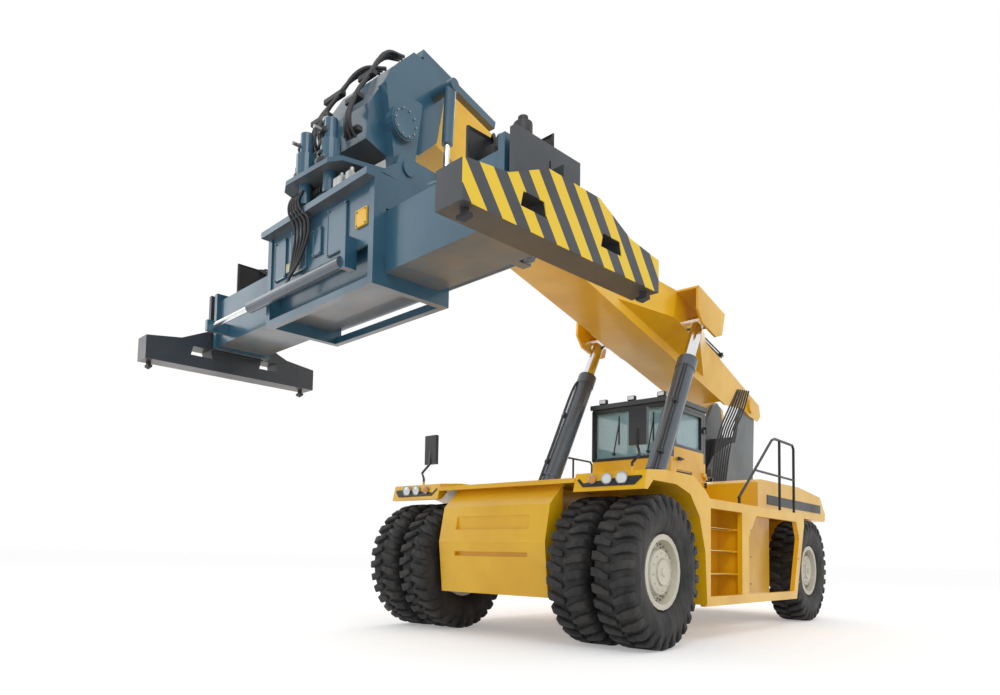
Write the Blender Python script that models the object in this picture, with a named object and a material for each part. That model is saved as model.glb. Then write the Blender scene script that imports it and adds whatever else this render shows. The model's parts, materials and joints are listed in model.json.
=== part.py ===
"""Reach stacker for containers: chassis, cab, luffing telescopic boom and slewing spreader.

Metres, +Z up. The machine faces -Y. Places along Y are counted from the front axle, and the whole
machine is moved by front_axle_y, so that the middle of its box on the ground is the origin.
"""

import math

import bmesh
import bpy
from mathutils import Matrix, Vector

# Driving dimensions
gap = 0.0003
rear_end_y = 8.55
wheelbase = 6.5
tyre_radius = 0.9375
tyre_half_width = 0.26
bead_half_width = 0.158
rim_radius = 0.4187
flange_radius = 0.457
front_twin_x = (1.28, 1.90)
rear_wheel_x = 1.62
kingpin_x = 1.25
round_sides = 24

frame_half_width = 0.55
frame_plate = 0.10
frame_bottom_z = 0.70
frame_top_z = 1.75
frame_front_y = -0.35
frame_rear_y = 7.90
axle_top_z = 1.17
rear_axle_top_z = 1.10

deck_top_z = 2.08
fender_inner_x = 1.16
fender_outer_x = 2.12
side_frame_x = 2.05
side_deck_top_z = 1.93
side_deck_plate = 0.05

cab_half_width = 0.74
cab_front_y = 3.05
cab_rear_y = 4.40
cab_floor_z = 2.10
cab_roof_z = 3.80
cab_wall = 0.05
roof_thick = 0.08
door_clearance = 0.006

pivot_y = 7.45
pivot_z = 4.38
boom_rest_deg = 11.0
boom_half_width = 0.41
boom_wall = 0.03
boom_bottom_t = -0.43
boom_top_t = 0.47
boom_front_s = 8.50
boom_box_s = 1.45
inner_clearance = 0.025
inner_tail_s = 1.60
inner_front_s = 9.90
tower_plate = 0.08

lift_x = 0.954
lift_foot = (1.12, 0.75)
lift_ear = (3.62, 5.116)
lift_barrel_radius = 0.155
lift_rod_radius = 0.10
lift_foot_half = 0.158
lift_gland = 4.19
lift_rod_length = 4.04
ear_clear = 0.171
ear_plate = 0.038

pendulum_pin = (-2.96, 5.23)
nose_half_width = 0.44
nose_lug_x = 0.55
yoke_plate = 0.07
damper_x = 0.69
damper_top = (-2.40, 6.40)
damper_anchor = (-2.46, 5.27)
damper_radius = 0.065
damper_rod_radius = 0.035
damper_barrel = 0.70
damper_rod = 0.60

slew_y = -3.17
slew_rest_deg = -4.4
slew_top_z = 4.97
platform_z = 5.03
platform_thick = 0.05
beam_half_width = 0.353
beam_bottom_z = 3.80
beam_top_z = 4.41
beam_wall = 0.03
beam_half_length = 2.62
shift_frame_u = (0.94, 1.02)
shift_frame_top_z = 4.77
end_beam_u = (2.74, 3.02)
end_beam_bottom_z = 3.50
lock_u = 2.9265
lock_v = 1.1295
lock_tip_z = 3.40

slew_rest = math.radians(slew_rest_deg)
end_half_depth = 1.24
spreader_front_y = slew_y + end_beam_u[1] * math.sin(slew_rest) - end_half_depth * math.cos(slew_rest)
front_axle_y = -round((rear_end_y + spreader_front_y) / 2, 3)
boom_rest = math.radians(boom_rest_deg)

colours = {
    "yellow": ((0.90, 0.60, 0.02, 1), 0.40, 0.0),
    "teal": ((0.05, 0.19, 0.27, 1), 0.40, 0.0),
    "charcoal": ((0.04, 0.05, 0.06, 1), 0.50, 0.0),
    "tower_grey": ((0.17, 0.19, 0.20, 1), 0.45, 0.0),
    "cylinder_grey": ((0.13, 0.16, 0.19, 1), 0.35, 0.1),
    "chrome": ((0.75, 0.76, 0.78, 1), 0.10, 1.0),
    "rubber": ((0.02, 0.02, 0.022, 1), 0.85, 0.0),
    "ivory": ((0.72, 0.70, 0.62, 1), 0.45, 0.0),
    "black": ((0.015, 0.015, 0.017, 1), 0.50, 0.0),
    "glass": ((0.20, 0.38, 0.42, 0.35), 0.05, 0.0),
    "iron": ((0.08, 0.08, 0.08, 1), 0.60, 0.6),
    "seat_cloth": ((0.03, 0.03, 0.035, 1), 0.90, 0.0),
}


def material(slot):
    """One Principled material for each slot, made once."""
    if slot in bpy.data.materials:
        return bpy.data.materials[slot]
    made = bpy.data.materials.new(slot)
    made.use_nodes = True
    colour, roughness, metallic = colours[slot]
    shader = made.node_tree.nodes["Principled BSDF"]
    shader.inputs["Base Color"].default_value = colour
    shader.inputs["Roughness"].default_value = roughness
    shader.inputs["Metallic"].default_value = metallic
    return made


def shape(mesh_data, frame=None):
    """A helper object for one closed shape, turned into place and with its faces pointing out."""
    if frame is not None:
        mesh_data.transform(frame)
    bmesh.ops.remove_doubles(mesh_data, verts=mesh_data.verts, dist=1e-6)
    bmesh.ops.recalc_face_normals(mesh_data, faces=mesh_data.faces)
    mesh = bpy.data.meshes.new("shape")
    mesh_data.to_mesh(mesh)
    mesh_data.free()
    obj = bpy.data.objects.new("shape", mesh)
    bpy.context.scene.collection.objects.link(obj)
    obj.hide_render = True
    obj.display_type = "WIRE"
    return obj


def prism(outline, low, high, axis="X", frame=None):
    """An outline pushed along an axis: (y, z) along X, (x, z) along Y, or (x, y) along Z."""
    order = {"X": (2, 0, 1), "Y": (0, 2, 1), "Z": (0, 1, 2)}[axis]
    mesh_data = bmesh.new()
    rows = []
    for depth in (low, high):
        row = []
        for a, b in outline:
            values = (a, b, depth)
            row.append(mesh_data.verts.new([values[index] for index in order]))
        rows.append(row)
    mesh_data.faces.new(rows[0])
    mesh_data.faces.new(list(reversed(rows[1])))
    for index in range(len(outline)):
        after = (index + 1) % len(outline)
        mesh_data.faces.new((rows[0][index], rows[0][after], rows[1][after], rows[1][index]))
    return shape(mesh_data, frame)


def box(x, y, z, frame=None):
    return prism([(x[0], y[0]), (x[1], y[0]), (x[1], y[1]), (x[0], y[1])], z[0], z[1], "Z", frame)


def hull(points, frame=None):
    """The convex body around a few corners."""
    mesh_data = bmesh.new()
    for point in points:
        mesh_data.verts.new(point)
    bmesh.ops.convex_hull(mesh_data, input=mesh_data.verts)
    return shape(mesh_data, frame)


def rod(start, end, radius, sides=16, frame=None):
    start = Vector(start)
    along = Vector(end) - start
    mesh_data = bmesh.new()
    bmesh.ops.create_cone(
        mesh_data, cap_ends=True, segments=sides, radius1=radius, radius2=radius, depth=along.length
    )
    mesh_data.transform(along.to_track_quat("Z", "Y").to_matrix().to_4x4())
    mesh_data.transform(Matrix.Translation(start + along / 2))
    return shape(mesh_data, frame)


def turned(profile, centre, sign=1):
    """A profile of (x, radius) points turned about the X axis through centre (y, z)."""
    mesh_data = bmesh.new()
    verts = [mesh_data.verts.new((sign * x, centre[0], centre[1] + radius)) for x, radius in profile]
    edges = [mesh_data.edges.new((verts[i], verts[(i + 1) % len(verts)])) for i in range(len(verts))]
    bmesh.ops.spin(
        mesh_data,
        geom=verts + edges,
        axis=(1, 0, 0),
        cent=(0, centre[0], centre[1]),
        steps=round_sides,
        angle=2 * math.pi,
        use_merge=False,
    )
    bmesh.ops.remove_doubles(mesh_data, verts=mesh_data.verts, dist=1e-4)
    bmesh.ops.dissolve_degenerate(mesh_data, edges=mesh_data.edges, dist=1e-5)
    inner = [face for face in mesh_data.faces if face.calc_area() < 1e-9]
    bmesh.ops.delete(mesh_data, geom=inner, context="FACES")
    return shape(mesh_data)


def pipe(points, radius, frame=None):
    """A bent round bar through the points."""
    curve = bpy.data.curves.new("pipe", "CURVE")
    curve.dimensions = "3D"
    curve.bevel_depth = radius
    curve.bevel_resolution = 1
    curve.use_fill_caps = True
    line = curve.splines.new("POLY")
    line.points.add(len(points) - 1)
    for point, place in zip(line.points, points):
        point.co = (*place, 1)
    guide = bpy.data.objects.new("pipe", curve)
    bpy.context.scene.collection.objects.link(guide)
    mesh_data = bmesh.new()
    bpy.context.view_layer.update()
    mesh_data.from_mesh(guide.evaluated_get(bpy.context.evaluated_depsgraph_get()).to_mesh())
    bpy.data.objects.remove(guide)
    return shape(mesh_data, frame)


def node(name, slot, adds, cuts=(), pivot=(0, 0, 0), slewed=False, solver="EXACT"):
    """Joins the adds, takes the cuts away, and puts the node's origin on its joint."""
    base = adds[0]
    for helper, operation in [(each, "UNION") for each in adds[1:]] + [(each, "DIFFERENCE") for each in cuts]:
        modifier = base.modifiers.new(operation, "BOOLEAN")
        modifier.operation = operation
        modifier.solver = solver
        modifier.object = helper
    bpy.context.view_layer.update()
    graph = bpy.context.evaluated_depsgraph_get()
    mesh = bpy.data.meshes.new_from_object(base.evaluated_get(graph))
    for helper in [*adds, *cuts]:
        bpy.data.objects.remove(helper)
    if slewed:
        centre = Matrix.Translation((0, slew_y, 0))
        mesh.transform(centre @ Matrix.Rotation(slew_rest, 4, "Z"))
    origin = Vector(pivot)
    if slewed:
        origin = centre @ Matrix.Rotation(slew_rest, 4, "Z") @ origin
    mesh.transform(Matrix.Translation(-origin))
    mesh.name = name
    mesh.materials.clear()
    mesh.materials.append(material(slot))
    mesh.set_sharp_from_angle(angle=math.radians(35))
    obj = bpy.data.objects.new(name, mesh)
    obj.location = origin + Vector((0, front_axle_y, 0))
    bpy.context.scene.collection.objects.link(obj)
    return obj


def both(make):
    """Runs a maker for the right side, sign 1, and for the left side, sign -1."""
    for side, sign in (("right", 1), ("left", -1)):
        make(side, sign)


def span(sign, low, high):
    return (low, high) if sign > 0 else (-high, -low)


def boom_frame():
    """Turns (x, s, t) into the machine's frame: s runs out along the boom, t is square to it."""
    c, s = math.cos(boom_rest), math.sin(boom_rest)
    return Matrix(((1, 0, 0, 0), (0, -c, s, pivot_y), (0, s, c, pivot_z), (0, 0, 0, 1)))


def along_boom(s, t):
    c, n = math.cos(boom_rest), math.sin(boom_rest)
    return pivot_y - s * c + t * n, pivot_z + s * n + t * c


def boom_prism(outline, low, high):
    return prism([along_boom(s, t) for s, t in outline], low, high)


def circle(centre, radius, count=12, start=0.0, end=360.0):
    """Points of an arc, for the rounded ends of plates."""
    return [
        (
            centre[0] + radius * math.cos(math.radians(start + (end - start) * i / count)),
            centre[1] + radius * math.sin(math.radians(start + (end - start) * i / count)),
        )
        for i in range(count + (0 if end - start >= 360 else 1))
    ]


# Chassis


def make_frame():
    plates = []
    outline = [
        (frame_front_y, frame_bottom_z),
        (-0.25, frame_bottom_z),
        (-0.25, axle_top_z + gap),
        (0.25, axle_top_z + gap),
        (0.25, frame_bottom_z),
        (5.30, frame_bottom_z),
        (5.70, rear_axle_top_z + gap),
        (7.30, rear_axle_top_z + gap),
        (7.60, 0.80),
        (frame_rear_y, 0.80),
        (frame_rear_y, frame_top_z),
        (frame_front_y, frame_top_z),
    ]
    inner = frame_half_width - frame_plate
    for sign in (1, -1):
        plates.append(prism(outline, *span(sign, inner, frame_half_width)))
        plates.append(box(span(sign, inner, lift_x - lift_foot_half - gap), (0.98, 1.30), (0.58, 0.96)))
    wide = (-frame_half_width, frame_half_width)
    plates += [
        box((-0.5, 0.5), (0.9, 1.1), (frame_bottom_z, 1.5)),
        box((-0.5, 0.5), (3.3, 5.0), (0.80, 0.90)),
        box(wide, (5.2, frame_rear_y), (frame_top_z - 0.03, frame_top_z)),
        box(wide, (cab_front_y, cab_rear_y - 0.02), (frame_top_z - 0.03, cab_floor_z - gap)),
        box((-0.5, 0.5), (6.3, 6.7), (rear_axle_top_z + gap, 1.5)),
        box((-0.5, 0.5), (7.6, 7.8), (0.9, 1.6)),
    ]
    node("chassis_frame", "yellow", plates)


def make_front_body():
    face = [(-0.3503, 0.58), (-0.66, 0.58), (-0.74, 1.27), (-0.64, 1.76), (-0.30, 2.06), (-0.30, 2.0)]
    face += [(-0.3503, 2.0)]
    adds = [prism(face, -0.90, 0.90)]
    adds.append(box((-fender_inner_x + gap, fender_inner_x - gap), (-0.50, 3.0), (deck_top_z - 0.06, deck_top_z)))
    for sign in (1, -1):
        adds.append(box(span(sign, 0.42, 0.50), (-0.34, 1.2), (frame_top_z + gap, deck_top_z - 0.03)))
    cuts = []
    for sign in (1, -1):
        cuts.append(box(span(sign, 0.76, 1.3), (1.45, 2.30), (1.9, 2.2)))
    for low, high in ((1.44, 1.62), (1.08, 1.14)):
        cuts.append(box((-0.62, 0.62), (-0.80, -0.66), (low, high)))
    node("front_body", "yellow", adds, cuts)


def make_fender(side, sign):
    outer = [(-0.52, 1.90), (-0.46, 2.13), (0.0, 2.17), (0.80, 2.17), (1.15, 2.02), (1.3297, 1.90)]
    outer += [(1.3297, 0.50)]
    inner = [(1.22, 0.50), (1.16, 1.20), (0.98, 1.66), (0.70, 1.93), (0.30, 2.02), (-0.30, 2.02), (-0.44, 1.90)]
    shell = prism(outer + inner, *span(sign, fender_inner_x, fender_outer_x))
    x = sign * 1.78
    arm = [(x, -0.18, 2.10), (x, -0.18, 2.26), (x + sign * 0.08, -0.14, 2.36), (x, -0.06, 2.50), (x, -0.04, 2.70)]
    head = box((x - 0.12, x + 0.12), (-0.05, 0.01), (2.50, 2.96))
    node("fender_" + side, "yellow", [shell, pipe(arm, 0.02), head])


def make_front_axle():
    adds = [box((-0.95, 0.95), (-0.2, 0.2), (0.72, axle_top_z))]
    adds.append(rod((-0.30, 0, tyre_radius), (0.30, 0, tyre_radius), 0.30))
    for sign in (1, -1):
        adds.append(rod((sign * 0.60, 0, tyre_radius), (sign * (1.60 - gap), 0, tyre_radius), 0.30, 20))
    node("front_axle", "yellow", adds, [box((-0.57, 0.57), (-0.4, 0.4), (axle_top_z, 1.4))])


def make_rear_axle():
    y = wheelbase
    adds = [box((-1.10, 1.10), (y - 0.15, y + 0.15), (0.80, rear_axle_top_z))]
    for low, high in ((0.80, 0.85), (1.05, rear_axle_top_z)):
        adds.append(box((-1.37, 1.37), (y - 0.12, y + 0.12), (low, high)))
    node("rear_axle", "yellow", adds)


def make_knuckle(side, sign):
    y = wheelbase
    x = sign * kingpin_x
    adds = [rod((x, y, 0.85 + gap), (x, y, 1.05 - gap), 0.10, 20)]
    adds.append(rod((x, y, tyre_radius), (sign * (1.45 - gap), y, tyre_radius), 0.08))
    adds.append(rod((sign * 1.43, y, tyre_radius), (sign * (1.45 - gap), y, tyre_radius), 0.20, 20))
    node("steering_knuckle_" + side, "iron", adds, pivot=(x, y, tyre_radius))


def tyre_profile(centre):
    half = tyre_half_width
    side = [
        (-bead_half_width, rim_radius + gap),
        (-bead_half_width, flange_radius + 0.003),
        (-0.225, 0.50),
        (-half, 0.68),
        (-0.235, 0.86),
        (-0.17, tyre_radius),
    ]
    mirrored = [(-x, radius) for x, radius in reversed(side)]
    return [(centre + x, radius) for x, radius in side + mirrored]


def make_front_wheels(side, sign):
    hub = (0, tyre_radius, 0)
    place = (0, tyre_radius)
    for word, centre in zip(("inner", "outer"), front_twin_x):
        tyre = turned(tyre_profile(centre), place, sign)
        node(f"front_tyre_{side}_{word}", "rubber", [tyre], pivot=(sign * centre, 0, tyre_radius))
    profile = [
        (1.60, 0),
        (1.60, 0.37),
        (1.08, 0.37),
        (1.08, flange_radius),
        (1.12, flange_radius),
        (1.12, rim_radius),
        (2.06, rim_radius),
        (2.06, flange_radius),
        (2.10, flange_radius),
        (2.10, 0.39),
        (2.00, 0.37),
        (2.00, 0.29),
        (2.07, 0.27),
        (2.09, 0.20),
        (2.09, 0),
    ]
    rim = turned(profile, place, sign)
    node("front_rim_" + side, "ivory", [rim], pivot=(sign * front_twin_x[1], 0, hub[1]))


def make_rear_wheel(side, sign):
    y = wheelbase
    tyre = turned(tyre_profile(rear_wheel_x), (y, tyre_radius), sign)
    node("rear_tyre_" + side, "rubber", [tyre], pivot=(sign * rear_wheel_x, y, tyre_radius))
    profile = [
        (1.45, 0),
        (1.45, 0.37),
        (1.42, 0.37),
        (1.42, flange_radius),
        (1.46, flange_radius),
        (1.46, rim_radius),
        (1.78, rim_radius),
        (1.78, flange_radius),
        (1.82, flange_radius),
        (1.82, 0.39),
        (1.72, 0.37),
        (1.72, 0.29),
        (1.78, 0.27),
        (1.80, 0.20),
        (1.80, 0),
    ]
    rim = turned(profile, (y, tyre_radius), sign)
    node("rear_rim_" + side, "ivory", [rim], pivot=(sign * rear_wheel_x, y, tyre_radius))


def make_rear_body():
    outline = [(4.66, 1.95), (4.66, 2.46), (4.80, 2.52), (6.83, 2.54), (8.19, 2.44), (rear_end_y, 2.11)]
    outline += [(rear_end_y - 0.03, 1.95)]
    cuts = [box((-0.42, 0.42), (4.0, 7.86), (1.5, 3.0))]
    for sign in (1, -1):
        cuts.append(box(span(sign, 0.47, 1.50), (4.71, 7.80), (1.5, 2.40)))
    node("rear_hood", "yellow", [prism(outline, -1.55, 1.55)], cuts)
    weight = [(7.66, 0.75), (7.66, 1.95 - gap), (8.45, 1.95 - gap), (8.50, 1.60), (8.30, 0.75)]
    hollow = [box((-frame_half_width - gap, frame_half_width + gap), (7.0, frame_rear_y + gap), (0.5, 2.2))]
    node("counterweight", "yellow", [prism(weight, -1.30, 1.30)], hollow)
    node("engine_block", "iron", [box((-0.42, 0.42), (3.35, 4.95), (0.90 + gap, 1.66))])


def make_side(side, sign):
    outline = [(1.33, side_deck_top_z), (5.45, side_deck_top_z), (5.47, 1.74), (5.06, 0.47), (1.33, 0.47)]
    low_z = side_deck_top_z - side_deck_plate
    wide = span(sign, 1.98, side_frame_x)
    inner = frame_half_width + gap
    adds = [prism(outline, *wide)]
    adds.append(box(span(sign, 1.62, side_frame_x), (1.33, 2.9), (low_z, side_deck_top_z)))
    adds.append(box(span(sign, inner, side_frame_x), (2.70, 4.60), (low_z, side_deck_top_z)))
    adds.append(box(span(sign, 1.50, side_frame_x), (4.5, 5.40), (low_z, side_deck_top_z)))
    adds.append(box(span(sign, 1.62, 1.66), (1.40, 2.70), (0.50, side_deck_top_z)))
    adds.append(box(span(sign, inner, side_frame_x), (2.70, 2.78), (0.47, 0.60)))
    adds.append(box(span(sign, 1.64, side_frame_x), (2.70, 2.78), (0.47, side_deck_top_z)))
    for step_z in (0.53, 0.88, 1.21, 1.53):
        adds.append(box(span(sign, 1.64, 2.0), (1.42, 2.72), (step_z, step_z + 0.03)))
    cuts = []
    cuts.append(prism([(1.50, 0.60), (2.62, 0.60), (2.62, 1.80), (1.50, 1.80)], *span(sign, 1.90, 2.2)))
    arch = [(2.88, 0.60), (4.92, 0.60), (5.20, 1.50), (5.05, 1.78), (3.20, 1.78), (2.88, 1.45)]
    cuts.append(prism(arch, *span(sign, 1.90, 2.2)))
    node("side_frame_" + side, "yellow", adds, cuts)
    name = {"right": "fuel_tank", "left": "hydraulic_tank"}[side]
    top = low_z - gap
    node(name, "yellow", [box(span(sign, inner, 1.55), (2.90, 5.20), (0.55, top))])
    x = sign * 2.0
    foot = side_deck_top_z + gap
    rail = [(x, 2.62, 2.02), (x, 4.02, 3.06), (x, 4.15, 3.10), (x, 5.03, 3.10), (x, 5.09, 3.04), (x, 5.09, foot)]
    rails = [pipe(rail, 0.022), pipe([(x, 4.38, foot), (x, 4.38, 3.10)], 0.022)]
    rails.append(pipe([(x, 2.64, foot), (x, 2.64, 2.04)], 0.022))
    rails.append(pipe([(x, 3.26, 2.50), (x, 5.09, 2.50)], 0.018))
    node("handrail_" + side, "black", rails)


def make_tower():
    outline = [
        (5.90, frame_top_z + gap),
        (7.62, frame_top_z + gap),
        (7.76, 4.10),
        (7.66, 4.46),
        (7.45, 4.55),
        (7.25, 4.46),
        (6.95, 4.10),
        (6.72, 3.52),
        (6.35, 3.38),
        (5.80, 3.14),
        (5.50, 2.85),
        (5.55, 2.45),
        (5.80, 2.15),
    ]
    outer = boom_half_width - boom_wall - gap
    adds = [prism(outline, *span(sign, outer - tower_plate, outer)) for sign in (1, -1)]
    reach = outer - tower_plate / 2
    adds.append(box((-reach, reach), (6.4, 7.3), (2.0, 2.1)))
    adds.append(box((-reach, reach), (7.1, 7.2), (2.0, 3.7)))
    node("boom_tower", "tower_grey", adds)


# Cab


def make_cab():
    half, wall = cab_half_width, cab_wall
    top = cab_roof_z - roof_thick - gap
    shell = box((-half, half), (cab_front_y, cab_rear_y), (cab_floor_z, top))
    adds = [shell]
    hinge_y = cab_rear_y - 0.04
    for low in (2.50, 3.40):
        adds.append(box((half - 0.02, half + 0.045), (hinge_y - 0.02, hinge_y + 0.025), (low, low + 0.05)))
    inside = (cab_front_y + wall, cab_rear_y - wall)
    cuts = [box((-half + wall, half - wall), inside, (cab_floor_z + wall, top + 0.1))]
    cuts.append(box((-0.68, 0.68), (cab_front_y - 0.1, cab_front_y + 0.06), (2.82, 3.66)))
    cuts.append(box((-0.62, 0.62), (cab_rear_y - 0.06, cab_rear_y + 0.1), (2.95, 3.62)))
    cuts.append(box((-half - 0.1, -half + 0.06), (3.17, 4.28), (3.05, 3.64)))
    cuts.append(box((half - 0.06, half + 0.1), (3.15, 4.33), (2.17, 3.66)))
    node("cab_shell", "yellow", adds, cuts)
    roof = box((-half - 0.03, half + 0.03), (cab_front_y - 0.04, cab_rear_y + 0.03), (top + gap, cab_roof_z))
    node("cab_roof", "black", [roof])
    glass_x = half - wall - gap
    glass_y = (inside[0] + gap, inside[1] - gap)
    pane = 0.01
    ring = box((-glass_x, glass_x), glass_y, (2.70, top - 0.02))
    hollow = box((-glass_x + pane, glass_x + 0.1), (glass_y[0] + pane, glass_y[1] - pane), (2.6, 3.9))
    node("cab_glass", "glass", [ring], [hollow])
    seat = [box((-0.25, 0.25), (3.75, 4.20), (2.50, 2.62)), box((-0.24, 0.24), (4.12, 4.24), (2.55, 3.25))]
    seat.append(box((-0.15, 0.15), (3.85, 4.15), (cab_floor_z + wall + gap, 2.52)))
    node("driver_seat", "seat_cloth", seat)
    column = [rod((0, 3.35, cab_floor_z + wall + gap), (0, 3.50, 2.86), 0.04, 10)]
    column.append(rod((0, 3.495, 2.82), (0, 3.51, 2.85), 0.20, 20))
    column.append(box((-0.12, 0.12), (3.24, 3.44), (cab_floor_z + wall + gap, 2.20)))
    node("steering_column", "black", column, [box((-1, 1), (3, 4), (2.0, cab_floor_z + wall + gap))])


def make_door():
    half, wall = cab_half_width, cab_wall
    hinge = (half + 0.025, cab_rear_y - 0.04)
    low, high = 3.15 + door_clearance, 4.33 - door_clearance
    adds = [box((half - wall, half), (low, high), (2.17 + door_clearance, 3.66 - door_clearance))]
    for base in (2.55 + gap, 3.33):
        adds.append(rod((*hinge, base), (*hinge, base + 0.07 - gap), 0.016, 12))
        tall = (base, base + 0.07 - gap)
        adds.append(box((half - 0.01, hinge[0] + 0.008), (4.26, 4.32), tall))
        adds.append(box((half + door_clearance, hinge[0] + 0.008), (4.30, hinge[1]), tall))
    window = box((half - 0.2, half + 0.1), (3.25, 4.23), (3.02, 3.60))
    vent = box((half - 0.015, half + 0.1), (3.25, 3.85), (2.30, 2.60))
    place = (*hinge, 0)
    node("cab_door", "yellow", adds, [window, vent], pivot=place)
    inner = half - wall - gap
    pane = box((inner - 0.01, inner), (3.21, 4.27), (2.98, 3.64))
    node("door_glass", "glass", [pane], pivot=place)


# Boom


def make_outer_boom():
    half = boom_half_width
    outline = [(-0.50, 0.20), (-0.62, 0.0), (-0.50, -0.16), (0.0, -0.22), (0.35, -0.18), (1.27, boom_bottom_t)]
    outline += [(boom_front_s, boom_bottom_t), (boom_front_s, boom_top_t), (2.8, boom_top_t), (1.3, 0.34)]
    adds = [boom_prism(outline, -half, half)]
    frame = boom_frame()
    collar = (boom_front_s - 0.25, boom_front_s)
    low, high = boom_bottom_t - 0.03, boom_top_t + 0.03
    adds.append(box((-half - 0.03, half + 0.03), collar, (low, high), frame))
    cuts = [box((-half + boom_wall, half - boom_wall), (-2, boom_box_s), (-1, 1), frame)]
    inner = (boom_bottom_t + boom_wall, boom_top_t - boom_wall)
    cuts.append(box((-half + boom_wall, half - boom_wall), (boom_box_s - 0.1, 9.5), inner, frame))
    for sign in (1, -1):
        ear_in, ear_out = lift_x - ear_clear, lift_x + ear_clear
        corners = [(sign * 0.39, s, t) for s in (2.3, 5.7) for t in (-0.28, 0.40)]
        corners += [(sign * ear_in, s, t) for s in (3.40, 4.45) for t in (-0.12, 0.37)]
        adds.append(hull(corners, frame))
        lug = [(3.40, -0.05), (3.62, -0.18), (4.18, -0.18), (4.40, -0.02), (4.45, 0.37), (3.35, 0.37)]
        adds.append(boom_prism(lug, *span(sign, ear_out, ear_out + ear_plate)))
        adds.append(box(span(sign, ear_in - 0.1, ear_out + ear_plate), (3.35, 4.45), (0.335, 0.37), frame))
        adds.append(rod((sign * (half - 0.01), pivot_y, pivot_z), (sign * (half + 0.05), pivot_y, pivot_z), 0.15))
    node("outer_boom", "yellow", adds, cuts, pivot=(0, pivot_y, pivot_z), solver="MANIFOLD")


def make_inner_boom():
    frame = boom_frame()
    half = boom_half_width - boom_wall - inner_clearance
    low = boom_bottom_t + boom_wall + inner_clearance
    high = boom_top_t - boom_wall - inner_clearance
    adds = [box((-half, half), (inner_tail_s, inner_front_s), (low, high), frame)]
    pad = inner_clearance - gap
    adds.append(box((-half - pad, half + pad), (inner_tail_s, inner_tail_s + 0.3), (low - pad, high + pad), frame))
    wall = 0.03
    hollow = box((-half + wall, half - wall), (1.0, inner_front_s - 0.05), (low + wall, high - wall), frame)
    node("inner_boom", "yellow", adds, [hollow], pivot=(0, *along_boom(inner_front_s, 0)))


def make_nose():
    frame = boom_frame()
    start = inner_front_s + gap
    rear = [along_boom(start, -0.42), along_boom(start, 0.46)]
    outline = rear + [(-2.75, 6.74), (-3.05, 6.42), (-3.38, 5.86), (-3.42, 5.44), (-3.10, 5.36), (-2.62, 5.60)]
    adds = [prism(outline, -nose_half_width, nose_half_width)]
    for sign in (1, -1):
        lug = circle(pendulum_pin, 0.14, 8, 180, 360) + [(-2.70, 6.10), (-3.25, 6.10)]
        adds.append(prism(lug, *span(sign, nose_half_width - 0.02, nose_lug_x)))
        cover = (-3.02, 5.72)
        adds.append(rod((sign * 0.5, *cover), (sign * (nose_lug_x + 0.06), *cover), 0.19, 20))
        bracket = (sign * (nose_half_width - 0.02), *damper_top)
        adds.append(rod(bracket, (sign * (damper_x - 0.07 - gap), *damper_top), 0.07))
    adds.append(box((0.08, 0.20), (8.75, 10.15), (0.70, 0.80), frame))
    adds.append(box((0.08, 0.20), (9.98, 10.12), (0.30, 0.75), frame))
    node("boom_nose", "teal", adds)


def make_lift(side, sign):
    x = sign * lift_x
    foot = Vector((x, *lift_foot))
    ear = Vector((x, *lift_ear))
    along = (ear - foot).normalized()
    barrel = [rod(foot, foot + along * lift_gland, lift_barrel_radius, 20)]
    barrel.append(rod(foot + along * (lift_gland - 0.22), foot + along * lift_gland, 0.165, 20))
    barrel.append(rod(foot - Vector((lift_foot_half, 0, 0)), foot + Vector((lift_foot_half, 0, 0)), 0.165))
    bore = rod(foot + along * 0.25, foot + along * (lift_gland + 0.5), lift_rod_radius + gap, 16)
    node("lift_barrel_" + side, "cylinder_grey", barrel, [bore], pivot=foot)
    reach = ear_clear - gap
    piston = [rod(ear - along * lift_rod_length, ear, lift_rod_radius, 16)]
    piston.append(rod(ear - Vector((reach, 0, 0)), ear + Vector((reach, 0, 0)), 0.12))
    node("lift_rod_" + side, "chrome", piston, pivot=ear)


# Head and spreader


def make_platform():
    plate = [(-0.64, 0.42), (-0.64, -0.15), (-0.50, -0.60), (-0.36, -0.68), (0.36, -0.68), (0.50, -0.60)]
    plate += [(0.64, -0.15), (0.64, 0.42)]
    y = slew_y
    top = platform_z + platform_thick
    adds = [prism([(x, y + v) for x, v in plate], platform_z, top, "Z")]
    adds.append(rod((0, y, slew_top_z + gap), (0, y, top - 0.01), 0.42, 24))
    inner = nose_lug_x + gap
    for sign in (1, -1):
        lug = [(-3.38, platform_z + 0.01), (-2.52, platform_z + 0.01)]
        lug += circle(damper_anchor, 0.08, 4, -60, 90) + circle(pendulum_pin, 0.17, 8, 45, 180)
        adds.append(prism(lug, *span(sign, inner, inner + yoke_plate)))
        adds.append(rod((sign * (inner + 0.03), *pendulum_pin), (sign * (inner + yoke_plate + 0.02), *pendulum_pin), 0.09))
        x = sign * 0.21
        adds.append(rod((x, y - 0.53, platform_z), (x, y - 0.53, 5.36), 0.11))
        adds.append(rod((x, y - 0.53, 5.35), (x, y - 0.53, 5.60), 0.07))
        adds.append(rod((x, y - 0.53, 4.81), (x, y - 0.53, platform_z + 0.01), 0.07))
    node("slew_platform", "teal", adds, pivot=(0, *pendulum_pin))


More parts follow.
